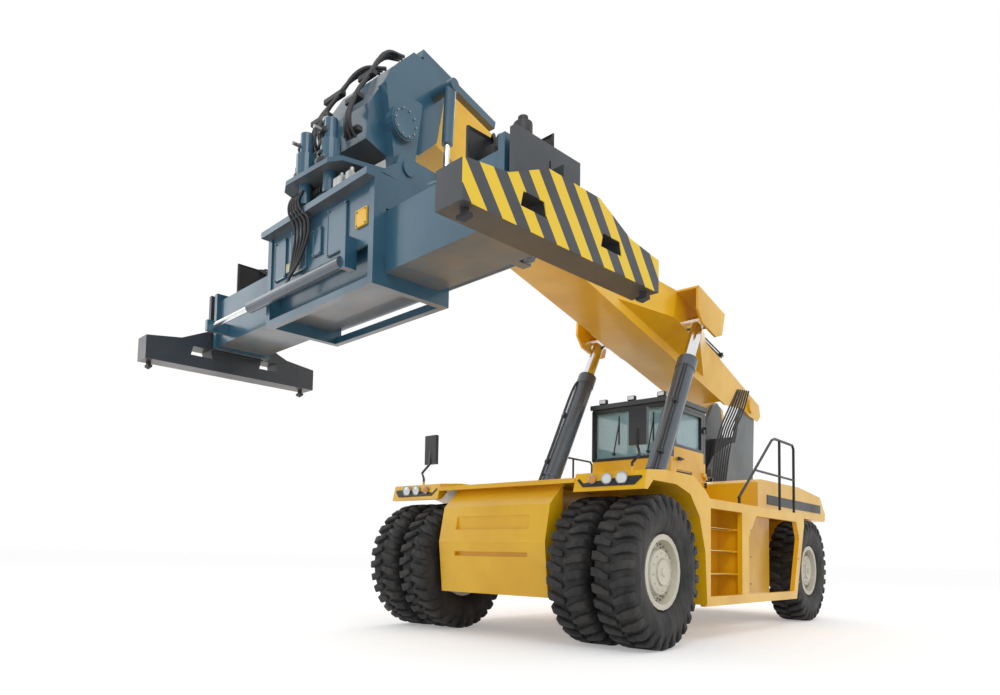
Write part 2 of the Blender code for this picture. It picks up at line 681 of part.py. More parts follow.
def make_damper(side, sign):
    x = sign * damper_x
    top = Vector((x, *damper_top))
    anchor = Vector((x, *damper_anchor))
    along = (top - anchor).normalized()
    mouth = top - along * damper_barrel
    half = 0.07
    barrel = [rod(mouth, top, damper_radius), rod(top - Vector((half, 0, 0)), top + Vector((half, 0, 0)), 0.07)]
    bore = rod(mouth - along * 0.1, top - along * 0.10, damper_rod_radius + gap, 12)
    node("damping_barrel_" + side, "teal", barrel, [bore], pivot=top)
    reach = damper_x - (nose_lug_x + gap + yoke_plate) - gap
    eye = [anchor - Vector((sign * reach, 0, 0)), anchor + Vector((sign * reach, 0, 0))]
    piston = [rod(anchor, anchor + along * damper_rod, damper_rod_radius, 12), rod(eye[0], eye[1], 0.06)]
    node("damping_rod_" + side, "chrome", piston, pivot=anchor)


def make_shift_frame():
    lower = beam_bottom_z - gap
    opening = beam_half_width + gap
    ring = [(-0.50, 3.66), (0.50, 3.66), (0.50, shift_frame_top_z), (-0.50, shift_frame_top_z)]
    adds = []
    cuts = []
    for sign in (1, -1):
        adds.append(prism(ring, *span(sign, *shift_frame_u)))
    wide = (-shift_frame_u[1], shift_frame_u[1])
    adds.append(box(wide, (-0.60, 0.70), (shift_frame_top_z - 0.07, shift_frame_top_z)))
    adds.append(box((-1.0, 1.0), (-0.48, -0.45), (4.08, shift_frame_top_z - 0.02)))
    adds.append(box((-1.0, 1.0), (0.45, 0.48), (4.08, shift_frame_top_z - 0.02)))
    adds.append(box(wide, (-0.50, -0.42), (3.66, 3.74)))
    adds.append(box(wide, (0.42, 0.50), (3.66, 3.74)))
    adds.append(rod((0, 0, shift_frame_top_z - 0.02), (0, 0, slew_top_z), 0.48, 24))
    adds.append(box((0.62, 0.70), (-0.60, -0.46), (3.88, 4.20)))
    cuts.append(box((-2, 2), (-opening, opening), (lower, beam_top_z + 0.03)))
    node("side_shift_frame", "teal", adds, cuts, slewed=True)


def make_main_beam():
    half = beam_half_width
    adds = [box((-beam_half_length, beam_half_length), (-half, half), (beam_bottom_z, beam_top_z))]
    for sign in (1, -1):
        ends = span(sign, beam_half_length - 0.07, beam_half_length)
        adds.append(box(ends, (-half - 0.05, half + 0.05), (beam_bottom_z - 0.04, beam_top_z + 0.09)))
    adds.append(box((-2.31, -2.25), (-0.66, -half + 0.01), (3.88, 4.02)))
    adds.append(box((1.90, 2.0), (half - 0.01, 0.66), (3.87, 4.03)))
    inner = half - beam_wall
    cuts = [box((-3, 3), (-inner, inner), (beam_bottom_z + beam_wall, beam_top_z - beam_wall))]
    hole = beam_telescope["radius"] + gap
    place = (beam_telescope["v"], beam_telescope["z"])
    cuts.append(rod((1.7, *place), (2.2, *place), hole, 16))
    node("main_beam", "teal", adds, cuts, slewed=True)


beam_telescope = {"v": 0.58, "z": 3.95, "radius": 0.06, "rod": 0.038}
shift_cylinder = {"v": -0.58, "z": 3.95, "radius": 0.065, "rod": 0.035}


def make_end_frame(side, sign):
    low, high = span(sign, *end_beam_u)
    inner = beam_half_width - beam_wall
    profile = [
        (-end_half_depth, end_beam_bottom_z),
        (end_half_depth, end_beam_bottom_z),
        (end_half_depth, 3.80),
        (0.78, 3.86),
        (0.33, 4.06),
        (-0.33, 4.06),
        (-0.78, 3.86),
        (-end_half_depth, 3.80),
    ]
    adds = [prism(profile, low, high)]
    floor = beam_bottom_z + beam_wall + gap
    lane = (0.01, inner - 0.008) if sign > 0 else (-inner + 0.008, -0.01)
    adds.append(box(span(sign, -1.90, end_beam_u[0] + 0.02), lane, (floor, beam_top_z - beam_wall - 0.02)))
    adds.append(box(span(sign, end_beam_u[0] - 0.05, end_beam_u[0] + 0.01), (-0.42, 0.42), (3.76, 4.50)))
    adds.append(hull([(sign * u, v, z) for u in (2.70, 2.98) for v in (-0.10, 0.10) for z in (4.0, 4.2)]))
    cuts = []
    for centre in (-0.5, 0.5):
        window = [(centre - 0.15, 3.66), (centre + 0.15, 3.66), (centre + 0.12, 3.78), (centre - 0.12, 3.78)]
        cuts.append(prism(window, low - 0.1, high + 0.1))
    if sign > 0:
        adds.append(box((2.72, 2.80), (0.40, 0.70), (3.86, 4.04)))
    node("end_frame_" + side, "charcoal", adds, cuts, pivot=(sign * end_beam_u[0], 0, 4.0), slewed=True)


def make_twistlock(name, u, v):
    shaft = rod((u, v, lock_tip_z + 0.03), (u, v, end_beam_bottom_z - gap), 0.032, 12)
    head = hull(
        [(u + a * 0.055, v + b * 0.03, z) for a in (-1, 1) for b in (-1, 1) for z in (lock_tip_z + 0.03, lock_tip_z + 0.06)]
        + [(u, v, lock_tip_z)]
    )
    node(name, "iron", [shaft, head], pivot=(u, v, end_beam_bottom_z), slewed=True)


def make_spreader_cylinders():
    v, z = shift_cylinder["v"], shift_cylinder["z"]
    barrel = [rod((-1.27, v, z), (0.62 - gap, v, z), shift_cylinder["radius"])]
    bore = [rod((-1.5, v, z), (0.5, v, z), shift_cylinder["rod"] + gap, 12)]
    node("side_shift_barrel", "cylinder_grey", barrel, bore, slewed=True)
    piston = [rod((-2.25 + gap, v, z), (-0.40, v, z), shift_cylinder["rod"], 12)]
    node("side_shift_rod", "chrome", piston, slewed=True)
    v, z = beam_telescope["v"], beam_telescope["z"]
    barrel = [rod((-1.45, v, z), (2.04, v, z), beam_telescope["radius"])]
    barrel.append(rod((2.0 + gap, v, z), (2.06, v, z), beam_telescope["radius"] + 0.02))
    bore = [rod((-1.38, v, z), (2.3, v, z), beam_telescope["rod"] + gap, 12)]
    node("extension_barrel", "cylinder_grey", barrel, bore, slewed=True)
    piston = [rod((-1.30, v, z), (2.72 - gap, v, z), beam_telescope["rod"], 12)]
    node("extension_rod", "chrome", piston, slewed=True)


def build():
    for obj in list(bpy.data.objects):
        bpy.data.objects.remove(obj)
    make_frame()
    make_front_body()
    both(make_fender)
    make_front_axle()
    make_rear_axle()
    both(make_knuckle)
    both(make_front_wheels)
    both(make_rear_wheel)
    make_rear_body()
    both(make_side)
    make_tower()
    make_cab()
    make_door()
    make_outer_boom()
    make_inner_boom()
    make_nose()
    both(make_lift)
    make_platform()
    both(make_damper)
    make_shift_frame()
    make_main_beam()
    both(make_end_frame)
    for side, u in (("right", lock_u), ("left", -lock_u)):
        for word, v in (("front", -lock_v), ("rear", lock_v)):
            make_twistlock(f"twistlock_{side}_{word}", u, v)
    make_spreader_cylinders()


build()
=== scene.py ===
import json
import math

import bpy
from mathutils import Matrix, Vector


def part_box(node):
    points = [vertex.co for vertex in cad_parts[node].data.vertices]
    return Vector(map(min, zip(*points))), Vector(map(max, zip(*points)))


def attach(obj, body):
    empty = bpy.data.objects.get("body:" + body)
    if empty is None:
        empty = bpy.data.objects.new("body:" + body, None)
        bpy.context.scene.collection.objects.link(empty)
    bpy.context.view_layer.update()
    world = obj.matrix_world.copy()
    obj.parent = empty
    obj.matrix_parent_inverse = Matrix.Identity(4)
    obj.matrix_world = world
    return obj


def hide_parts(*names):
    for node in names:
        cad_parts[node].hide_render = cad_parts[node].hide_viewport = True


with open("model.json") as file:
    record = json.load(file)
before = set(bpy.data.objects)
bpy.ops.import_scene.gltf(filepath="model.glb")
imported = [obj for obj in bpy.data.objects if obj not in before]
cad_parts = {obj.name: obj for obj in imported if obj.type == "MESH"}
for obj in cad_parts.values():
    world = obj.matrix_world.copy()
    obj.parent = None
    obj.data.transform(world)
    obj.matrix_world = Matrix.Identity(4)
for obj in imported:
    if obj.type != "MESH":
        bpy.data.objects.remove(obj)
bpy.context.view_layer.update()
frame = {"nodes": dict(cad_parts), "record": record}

nodes = frame["nodes"]
recordJoints = {joint["name"]: joint for joint in frame["record"]["behaviour"]["joints"]}


def jointPlace(name):
    return Vector(recordJoints[name]["pos_m"])


def nodeLow(name):
    return Vector(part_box(name)[0])


def nodeHigh(name):
    return Vector(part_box(name)[1])


frontAxleY = jointPlace("front_wheel_right_roll").y
wheelbase = jointPlace("steering_right").y - frontAxleY
slewCentre = jointPlace("spreader_slew")
boomPivot = jointPlace("boom_luff")
boomAxis = Vector(recordJoints["boom_extend"]["axis"])
slewTurn = math.atan2(recordJoints["side_shift"]["axis"][1], recordJoints["side_shift"]["axis"][0])


# Camera

cameraSetup = {
    "place": (6.097, frontAxleY - 8.180, 1.094),
    "yaw": 43.53,
    "pitch": 3.464,
    "roll": 1.245,
    "lens": 26.03,
    "shift": (0.0639, 0.1628),
}


def makeCamera():
    yaw, pitch, roll = (math.radians(cameraSetup[key]) for key in ("yaw", "pitch", "roll"))
    level = Vector((math.cos(yaw), math.sin(yaw), 0))
    ahead = Vector((-math.sin(yaw) * math.cos(pitch), math.cos(yaw) * math.cos(pitch), math.sin(pitch)))
    above = level.cross(ahead)
    right = level * math.cos(roll) + above * math.sin(roll)
    up = above * math.cos(roll) - level * math.sin(roll)
    bpy.ops.object.camera_add()
    camera = bpy.context.object
    camera.name = "viewCamera"
    turned = Matrix((right, up, -ahead)).transposed().to_4x4()
    camera.matrix_world = Matrix.Translation(cameraSetup["place"]) @ turned
    camera.data.lens = cameraSetup["lens"]
    camera.data.sensor_width = 36
    camera.data.shift_x, camera.data.shift_y = cameraSetup["shift"]
    camera.data.clip_end = 200
    bpy.context.scene.camera = camera


makeCamera()
print("camera placed")


# Materials


def groupSocket(group, name, kind, way, value=None):
    socket = group.interface.new_socket(name=name, in_out=way, socket_type=kind)
    if value is not None:
        socket.default_value = value


def makeWearGroup():
    # Blotches, fine grain and a soft streak, all from object coordinates
    group = bpy.data.node_groups.new("paintVariation", "ShaderNodeTree")
    groupSocket(group, "Scale", "NodeSocketFloat", "INPUT", 1.0)
    groupSocket(group, "Blotch", "NodeSocketFloat", "OUTPUT")
    groupSocket(group, "Grain", "NodeSocketFloat", "OUTPUT")
    groupSocket(group, "Streak", "NodeSocketFloat", "OUTPUT")
    make = group.nodes.new
    link = group.links.new
    into = make("NodeGroupInput")
    out = make("NodeGroupOutput")
    coords = make("ShaderNodeTexCoord")
    for name, scale, detail, stretch in (("Blotch", 1.3, 4, 1.0), ("Grain", 160.0, 2, 1.0), ("Streak", 6.0, 5, 0.18)):
        size = make("ShaderNodeMath")
        size.operation = "MULTIPLY"
        size.inputs[1].default_value = scale
        link(into.outputs["Scale"], size.inputs[0])
        mapping = make("ShaderNodeMapping")
        mapping.inputs["Scale"].default_value = (1, 1, stretch)
        link(coords.outputs["Object"], mapping.inputs["Vector"])
        noise = make("ShaderNodeTexNoise")
        noise.inputs["Detail"].default_value = detail
        link(mapping.outputs["Vector"], noise.inputs["Vector"])
        link(size.outputs[0], noise.inputs["Scale"])
        link(noise.outputs["Fac"], out.inputs[name])
    return group


def makeDustAndShadeGroup():
    # Dust that lies on what faces up, and painted shade that darkens what faces down
    group = bpy.data.node_groups.new("dustAndPaintedShade", "ShaderNodeTree")
    groupSocket(group, "Amount", "NodeSocketFloat", "INPUT", 0.5)
    groupSocket(group, "Dust", "NodeSocketFloat", "OUTPUT")
    groupSocket(group, "UnderShade", "NodeSocketFloat", "OUTPUT")
    make = group.nodes.new
    link = group.links.new
    into = make("NodeGroupInput")
    out = make("NodeGroupOutput")
    geometry = make("ShaderNodeNewGeometry")
    parts = make("ShaderNodeSeparateXYZ")
    link(geometry.outputs["Normal"], parts.inputs[0])
    coords = make("ShaderNodeTexCoord")
    noise = make("ShaderNodeTexNoise")
    noise.inputs["Scale"].default_value = 3.0
    noise.inputs["Detail"].default_value = 6
    link(coords.outputs["Object"], noise.inputs["Vector"])
    # Dust on faces turned up; painted shade on faces turned down
    for name, low, high in (("Dust", 0.5, 1.0), ("UnderShade", -0.6, -0.97)):
        ramp = make("ShaderNodeMapRange")
        ramp.inputs["From Min"].default_value = low
        ramp.inputs["From Max"].default_value = high
        link(parts.outputs["Z"], ramp.inputs["Value"])
        spread = make("ShaderNodeMath")
        spread.operation = "MULTIPLY"
        link(ramp.outputs["Result"], spread.inputs[0])
        link(noise.outputs["Fac"], spread.inputs[1])
        weigh = make("ShaderNodeMath")
        weigh.operation = "MULTIPLY"
        link(spread.outputs[0], weigh.inputs[0])
        link(into.outputs["Amount"], weigh.inputs[1])
        link(weigh.outputs[0], out.inputs[name])
    return group


variationGroup = makeWearGroup()
dustAndShadeGroup = makeDustAndShadeGroup()


def startMaterial(name):
    made = bpy.data.materials.new(name)
    made.use_nodes = True
    shader = made.node_tree.nodes["Principled BSDF"]
    return made, made.node_tree, shader


def mixColour(tree, factor, first, second):
    mix = tree.nodes.new("ShaderNodeMix")
    mix.data_type = "RGBA"
    tree.links.new(factor, mix.inputs["Factor"])
    for value, socket in ((first, mix.inputs["A"]), (second, mix.inputs["B"])):
        if isinstance(value, tuple):
            socket.default_value = (*value, 1)
        else:
            tree.links.new(value, socket)
    return mix.outputs["Result"]


def rangeOf(tree, value, fromMin, fromMax, toMin, toMax):
    ramp = tree.nodes.new("ShaderNodeMapRange")
    ramp.inputs["From Min"].default_value = fromMin
    ramp.inputs["From Max"].default_value = fromMax
    ramp.inputs["To Min"].default_value = toMin
    ramp.inputs["To Max"].default_value = toMax
    tree.links.new(value, ramp.inputs["Value"])
    return ramp.outputs["Result"]


def mathNode(tree, operation, first, second=None):
    node = tree.nodes.new("ShaderNodeMath")
    node.operation = operation
    for value, socket in ((first, node.inputs[0]), (second, node.inputs[1])):
        if value is None:
            continue
        if isinstance(value, (int, float)):
            socket.default_value = value
        else:
            tree.links.new(value, socket)
    return node.outputs[0]


paintTable = {
    # name: colour, darker, dust colour, painted shade colour for faces turned down, roughness, metallic, coat, amount
    # of dust and painted shade, grain height
    "yellowPaint": ((0.88, 0.50, 0.005), (0.74, 0.38, 0.004), (0.80, 0.52, 0.10), (0.50, 0.24, 0.01), 0.34, 0, 0.35, 0.5, 0.10),
    "yellowHead": ((0.88, 0.50, 0.005), (0.70, 0.34, 0.004), (0.80, 0.52, 0.10), (0.45, 0.22, 0.01), 0.38, 0, 0.25, 0.4, 0.12),
    "bluePaint": ((0.028, 0.105, 0.165), (0.016, 0.065, 0.105), (0.10, 0.15, 0.17), (0.20, 0.13, 0.07), 0.33, 0, 0.40, 0.9, 0.12),
    "charcoalPaint": ((0.035, 0.042, 0.052), (0.020, 0.024, 0.030), (0.10, 0.10, 0.10), (0.10, 0.07, 0.045), 0.42, 0, 0.20, 0.8, 0.15),
    "towerPaint": ((0.095, 0.115, 0.125), (0.065, 0.08, 0.09), (0.20, 0.20, 0.19), (0.10, 0.09, 0.08), 0.42, 0, 0.20, 0.6, 0.12),
    "cylinderPaint": ((0.085, 0.105, 0.130), (0.055, 0.070, 0.090), (0.20, 0.20, 0.20), (0.08, 0.08, 0.08), 0.27, 0.2, 0.45, 0.4, 0.06),
    "rimPaint": ((0.66, 0.63, 0.52), (0.50, 0.46, 0.36), (0.60, 0.55, 0.45), (0.40, 0.36, 0.28), 0.42, 0, 0.15, 0.5, 0.15),
    "blackPaint": ((0.012, 0.013, 0.015), (0.006, 0.006, 0.007), (0.06, 0.06, 0.06), (0.02, 0.02, 0.02), 0.45, 0, 0.10, 0.5, 0.15),
    "castIron": ((0.055, 0.055, 0.058), (0.03, 0.028, 0.026), (0.12, 0.11, 0.10), (0.09, 0.06, 0.04), 0.55, 0.5, 0.0, 0.6, 0.35),
    "plateBrown": ((0.19, 0.14, 0.095), (0.12, 0.09, 0.06), (0.25, 0.20, 0.15), (0.10, 0.07, 0.05), 0.60, 0, 0.0, 0.6, 0.5),
}


def makePaint(name):
    colour, darker, dust, underShadeColour, roughness, metallic, coat, dustAndShadeAmount, height = paintTable[name]
    made, tree, shader = startMaterial(name)
    vary = tree.nodes.new("ShaderNodeGroup")
    vary.node_tree = variationGroup
    settle = tree.nodes.new("ShaderNodeGroup")
    settle.node_tree = dustAndShadeGroup
    settle.inputs["Amount"].default_value = dustAndShadeAmount
    blotch = rangeOf(tree, vary.outputs["Blotch"], 0.42, 0.72, 0.0, 0.8)
    base = mixColour(tree, blotch, colour, darker)
    streak = rangeOf(tree, vary.outputs["Streak"], 0.58, 0.80, 0.0, 0.35)
    base = mixColour(tree, streak, base, darker)
    base = mixColour(tree, settle.outputs["Dust"], base, dust)
    # Painted shade: faces turned down take the darker colour
    base = mixColour(tree, settle.outputs["UnderShade"], base, underShadeColour)
    tree.links.new(base, shader.inputs["Base Color"])
    rough = rangeOf(tree, vary.outputs["Blotch"], 0.3, 0.75, roughness - 0.06, roughness + 0.14)
    tree.links.new(rough, shader.inputs["Roughness"])
    bump = tree.nodes.new("ShaderNodeBump")
    bump.inputs["Strength"].default_value = height
    bump.inputs["Distance"].default_value = 0.002
    tree.links.new(vary.outputs["Grain"], bump.inputs["Height"])
    tree.links.new(bump.outputs["Normal"], shader.inputs["Normal"])
    shader.inputs["Metallic"].default_value = metallic
    shader.inputs["Coat Weight"].default_value = coat
    shader.inputs["Coat Roughness"].default_value = 0.12
    return made


def splitPaint(name, second, height):
    # The upper part of a piece in a second paint, above a height
    made = makePaint(name)
    made.name = name + "Over" + second
    tree = made.node_tree
    shader = tree.nodes["Principled BSDF"]
    plain = shader.inputs["Base Color"].links[0].from_socket
    coords = tree.nodes.new("ShaderNodeTexCoord")
    parts = tree.nodes.new("ShaderNodeSeparateXYZ")
    tree.links.new(coords.outputs["Object"], parts.inputs[0])
    above = mathNode(tree, "GREATER_THAN", parts.outputs["Z"], height)
    tree.links.new(mixColour(tree, above, plain, paintTable[second][0]), shader.inputs["Base Color"])
    return made


def makeStripes():
    # Slanting warning stripes on the outer faces of the end beams, charcoal elsewhere
    made = makePaint("charcoalPaint")
    made.name = "stripedPaint"
    tree = made.node_tree
    shader = tree.nodes["Principled BSDF"]
    plain = shader.inputs["Base Color"].links[0].from_socket
    coords = tree.nodes.new("ShaderNodeTexCoord")
    turn = tree.nodes.new("ShaderNodeMapping")
    turn.vector_type = "POINT"
    turn.inputs["Rotation"].default_value = (0, 0, -slewTurn)
    centre = Matrix.Rotation(-slewTurn, 3, "Z") @ Vector((0, slewCentre.y, 0))
    turn.inputs["Location"].default_value = (-centre.x, -centre.y, 0)
    tree.links.new(coords.outputs["Object"], turn.inputs["Vector"])
    parts = tree.nodes.new("ShaderNodeSeparateXYZ")
    tree.links.new(turn.outputs["Vector"], parts.inputs[0])
    slant = mathNode(tree, "MULTIPLY_ADD", parts.outputs["Z"], 0.75)
    tree.nodes[-1].inputs[2].default_value = 0
    along = mathNode(tree, "ADD", parts.outputs["Y"], slant)
    scaled = mathNode(tree, "MULTIPLY", along, 1 / 0.31)
    phase = mathNode(tree, "FRACT", mathNode(tree, "ADD", scaled, 20.25))
    band = mathNode(tree, "LESS_THAN", phase, 0.5)
    outer = mathNode(tree, "GREATER_THAN", mathNode(tree, "ABSOLUTE", parts.outputs["X"]), 3.012)
    mask = mathNode(tree, "MULTIPLY", band, outer)
    tree.links.new(mixColour(tree, mask, plain, (0.86, 0.58, 0.01)), shader.inputs["Base Color"])
    return made


def makeRubber():
    made, tree, shader = startMaterial("tyreRubber")
    vary = tree.nodes.new("ShaderNodeGroup")
    vary.node_tree = variationGroup
    vary.inputs["Scale"].default_value = 2.5
    blotch = rangeOf(tree, vary.outputs["Blotch"], 0.4, 0.75, 0.0, 1.0)
    base = mixColour(tree, blotch, (0.014, 0.014, 0.015), (0.045, 0.041, 0.038))
    tree.links.new(base, shader.inputs["Base Color"])
    tree.links.new(rangeOf(tree, vary.outputs["Streak"], 0.3, 0.7, 0.55, 0.85), shader.inputs["Roughness"])
    bump = tree.nodes.new("ShaderNodeBump")
    bump.inputs["Strength"].default_value = 0.35
    bump.inputs["Distance"].default_value = 0.003
    tree.links.new(vary.outputs["Grain"], bump.inputs["Height"])
    tree.links.new(bump.outputs["Normal"], shader.inputs["Normal"])
    return made


def makePlain(name, colour, spread, roughness, metallic=0.0, scale=1.0):
    # One colour with fine wear in its tone and its gloss
    made, tree, shader = startMaterial(name)
    vary = tree.nodes.new("ShaderNodeGroup")
    vary.node_tree = variationGroup
    vary.inputs["Scale"].default_value = scale
    other = tuple(channel * spread for channel in colour)
    base = mixColour(tree, rangeOf(tree, vary.outputs["Streak"], 0.35, 0.75, 0.0, 1.0), colour, other)
    tree.links.new(base, shader.inputs["Base Color"])
    rough = rangeOf(tree, vary.outputs["Grain"], 0.3, 0.7, max(roughness - 0.04, 0.03), roughness + 0.08)
    tree.links.new(rough, shader.inputs["Roughness"])
    shader.inputs["Metallic"].default_value = metallic
    return made


def makeGlass():
    made, tree, shader = startMaterial("tintedGlass")
    vary = tree.nodes.new("ShaderNodeGroup")
    vary.node_tree = variationGroup
    base = mixColour(tree, vary.outputs["Blotch"], (0.42, 0.66, 0.72), (0.34, 0.58, 0.66))
    tree.links.new(base, shader.inputs["Base Color"])
    shader.inputs["Roughness"].default_value = 0.02
    shader.inputs["IOR"].default_value = 1.45
    shader.inputs["Alpha"].default_value = 0.42
    shader.inputs["Transmission Weight"].default_value = 0.0
    return made


def makeFabric():
    made, tree, shader = startMaterial("seatCloth")
    coords = tree.nodes.new("ShaderNodeTexCoord")
    wave = tree.nodes.new("ShaderNodeTexWave")
    wave.inputs["Scale"].default_value = 90
    wave.inputs["Distortion"].default_value = 1.5
    tree.links.new(coords.outputs["Object"], wave.inputs["Vector"])
    base = mixColour(tree, wave.outputs["Fac"], (0.018, 0.018, 0.022), (0.045, 0.045, 0.05))
    tree.links.new(base, shader.inputs["Base Color"])
    shader.inputs["Roughness"].default_value = 0.9
    bump = tree.nodes.new("ShaderNodeBump")
    bump.inputs["Strength"].default_value = 0.4
    bump.inputs["Distance"].default_value = 0.002
    tree.links.new(wave.outputs["Fac"], bump.inputs["Height"])
    tree.links.new(bump.outputs["Normal"], shader.inputs["Normal"])
    return made


finishes = {name: makePaint(name) for name in paintTable}
finishes["stripedPaint"] = makeStripes()
finishes["fenderPaint"] = splitPaint("yellowPaint", "blackPaint", 2.215)
finishes["cabPaint"] = splitPaint("yellowPaint", "blackPaint", 2.79)
finishes["doorPaint"] = splitPaint("yellowPaint", "blackPaint", 2.97)
finishes["tyreRubber"] = makeRubber()
finishes["chrome"] = makePlain("chrome", (0.78, 0.79, 0.81), 0.9, 0.10, 1.0, 2.0)
finishes["hoseRubber"] = makePlain("hoseRubber", (0.012, 0.012, 0.013), 1.8, 0.42, 0.0, 4.0)
finishes["brassPin"] = makePlain("brassPin", (0.52, 0.36, 0.13), 0.7, 0.32, 0.9, 5.0)
finishes["zincSteel"] = makePlain("zincSteel", (0.42, 0.43, 0.42), 0.7, 0.35, 0.9, 5.0)
finishes["blankPlate"] = makePlain("blankPlate", (0.55, 0.52, 0.36), 0.8, 0.4, 0.0, 4.0)
finishes["lampGlass"] = makePlain("lampGlass", (0.75, 0.78, 0.80), 0.9, 0.08, 0.3, 6.0)
finishes["amberLens"] = makePlain("amberLens", (0.85, 0.30, 0.02), 0.8, 0.15, 0.0, 6.0)
finishes["greenBand"] = makePlain("greenBand", (0.02, 0.32, 0.20), 0.7, 0.4, 0.0, 6.0)
finishes["whitePlate"] = makePlain("whitePlate", (0.70, 0.71, 0.72), 0.9, 0.35, 0.0, 4.0)
finishes["tintedGlass"] = makeGlass()
finishes["seatCloth"] = makeFabric()

slotFinish = {
    "yellow_paint": "yellowPaint",
    "blue_paint": "bluePaint",
    "charcoal_paint": "charcoalPaint",
    "tower_paint": "towerPaint",
    "cylinder_paint": "cylinderPaint",
    "chrome": "chrome",
    "iron": "castIron",
    "tyre": "tyreRubber",
    "rim_paint": "rimPaint",
    "black_plastic": "blackPaint",
    "seat_fabric": "seatCloth",
    "glass": "tintedGlass",
}
nodeFinish = {
    "end_frame_right": "stripedPaint",
    "end_frame_left": "stripedPaint",
    "engine_block": "castIron",
    "fender_right": "fenderPaint",
    "fender_left": "fenderPaint",
    "cab_shell": "cabPaint",
    "cab_door": "doorPaint",
    "cab_roof": "charcoalPaint",
}
for part in frame["record"]["subparts"]:
    finish = nodeFinish.get(part["node"], slotFinish[part["material_slot"]])
    nodes[part["node"]].data.materials.clear()
    nodes[part["node"]].data.materials.append(finishes[finish])
print("materials made:", len(finishes))


# Ways of making pieces


def deselect():
    if bpy.context.mode != "OBJECT":
        bpy.ops.object.mode_set(mode="OBJECT")
    bpy.ops.object.select_all(action="DESELECT")


def settle(obj, turn=None):
    # Applies every transform, after an optional turn about the slew centre
    deselect()
    obj.select_set(True)
    bpy.context.view_layer.objects.active = obj
    bpy.ops.object.transform_apply(location=True, rotation=True, scale=True)
    if turn:
        obj.data.transform(turn)
    return obj


def applyBevel(obj, width, segments=2):
    bevel = obj.modifiers.new("edge", "BEVEL")
    bevel.width = width
    bevel.segments = segments
    bevel.limit_method = "ANGLE"
    bpy.context.view_layer.objects.active = obj
    bpy.ops.object.modifier_apply(modifier=bevel.name)
    return obj


def addBlock(low, high, bevel=0.006, inset=0.0):
    # A block with soft edges; inset sinks a panel into its largest face
    deselect()
    middle = [(a + b) / 2 for a, b in zip(low, high)]
    bpy.ops.mesh.primitive_cube_add(size=1, location=middle)
    obj = bpy.context.object
    obj.scale = [abs(b - a) for a, b in zip(low, high)]
    bpy.ops.object.transform_apply(location=True, rotation=True, scale=True)
    if inset:
        largest = max(face.area for face in obj.data.polygons)
        for face in obj.data.polygons:
            face.select = face.area > largest * 0.99
        bpy.ops.object.mode_set(mode="EDIT")
        bpy.ops.mesh.select_mode(type="FACE")
        bpy.ops.mesh.inset(thickness=inset, depth=-inset * 0.4, use_individual=True)
        bpy.ops.object.mode_set(mode="OBJECT")
    if bevel:
        applyBevel(obj, bevel)
    return obj


def addRound(start, end, radius, sides=20, bevel=0.004, rim=0.0):
    # A round bar between two points; rim sinks its end faces
    deselect()
    start, end = Vector(start), Vector(end)
    bpy.ops.mesh.primitive_cylinder_add(vertices=sides, radius=radius, depth=(end - start).length)
    obj = bpy.context.object
    if rim:
        bpy.ops.object.mode_set(mode="EDIT")
        bpy.ops.mesh.select_all(action="DESELECT")
        bpy.ops.object.mode_set(mode="OBJECT")
        for face in obj.data.polygons:
            face.select = abs(face.normal.z) > 0.9
        bpy.ops.object.mode_set(mode="EDIT")
        bpy.ops.mesh.select_mode(type="FACE")
        bpy.ops.mesh.inset(thickness=radius * 0.2, depth=-rim, use_individual=True)
        bpy.ops.object.mode_set(mode="OBJECT")
    if bevel:
        applyBevel(obj, bevel)
    quat = (end - start).to_track_quat("Z", "Y")
    obj.data.transform(Matrix.Translation((start + end) / 2) @ quat.to_matrix().to_4x4())
    bpy.ops.object.shade_smooth_by_angle(angle=math.radians(40))
    return obj


def addHose(points, radius, sides=2):
    # A bent pipe or a held hose as a smooth tube through its points
    curve = bpy.data.curves.new("hose", "CURVE")
    curve.dimensions = "3D"
    curve.bevel_depth = radius
    curve.bevel_resolution = sides
    curve.use_fill_caps = True
    curve.resolution_u = 6
    line = curve.splines.new("BEZIER")
    line.bezier_points.add(len(points) - 1)
    for point, place in zip(line.bezier_points, points):
        point.co = place
        point.handle_left_type = "AUTO"
        point.handle_right_type = "AUTO"
    obj = bpy.data.objects.new("hose", curve)
    bpy.context.scene.collection.objects.link(obj)
    deselect()
    obj.select_set(True)
    bpy.context.view_layer.objects.active = obj
    bpy.ops.object.convert(target="MESH")
    obj = bpy.context.object
    bpy.ops.object.mode_set(mode="EDIT")
    bpy.ops.mesh.select_all(action="SELECT")
    bpy.ops.mesh.remove_doubles(threshold=0.0001)
    bpy.ops.object.mode_set(mode="OBJECT")
    bpy.ops.object.shade_smooth_by_angle(angle=math.radians(60))
    return obj


def joinPieces(name, pieces, body, finish, turn=None):
    deselect()
    for piece in pieces:
        piece.select_set(True)
    bpy.context.view_layer.objects.active = pieces[0]
    if len(pieces) > 1:
        bpy.ops.object.join()
    obj = bpy.context.object
    obj.name = name
    obj.data.name = name
    settle(obj, turn)
    obj.data.materials.clear()
    obj.data.materials.append(finishes[finish])
    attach(obj, body)
    return obj


slewMatrix = Matrix.Translation((slewCentre.x, slewCentre.y, 0)) @ Matrix.Rotation(slewTurn, 4, "Z")


def yFrom(value):
    return value + frontAxleY


def onBoom(x, s, t):
    # A place s metres out along the boom and t metres square to it
    across = Vector((0, boomAxis.z, -boomAxis.y))
    return Vector((x, boomPivot.y, boomPivot.z)) + boomAxis * s + across * t


# Tyres with deep lugs

tyreShape = {"base": 0.885, "top": 0.9372, "halfWidth": 0.2598, "lugs": 30, "bead": 0.4195, "beadHalf": 0.157}


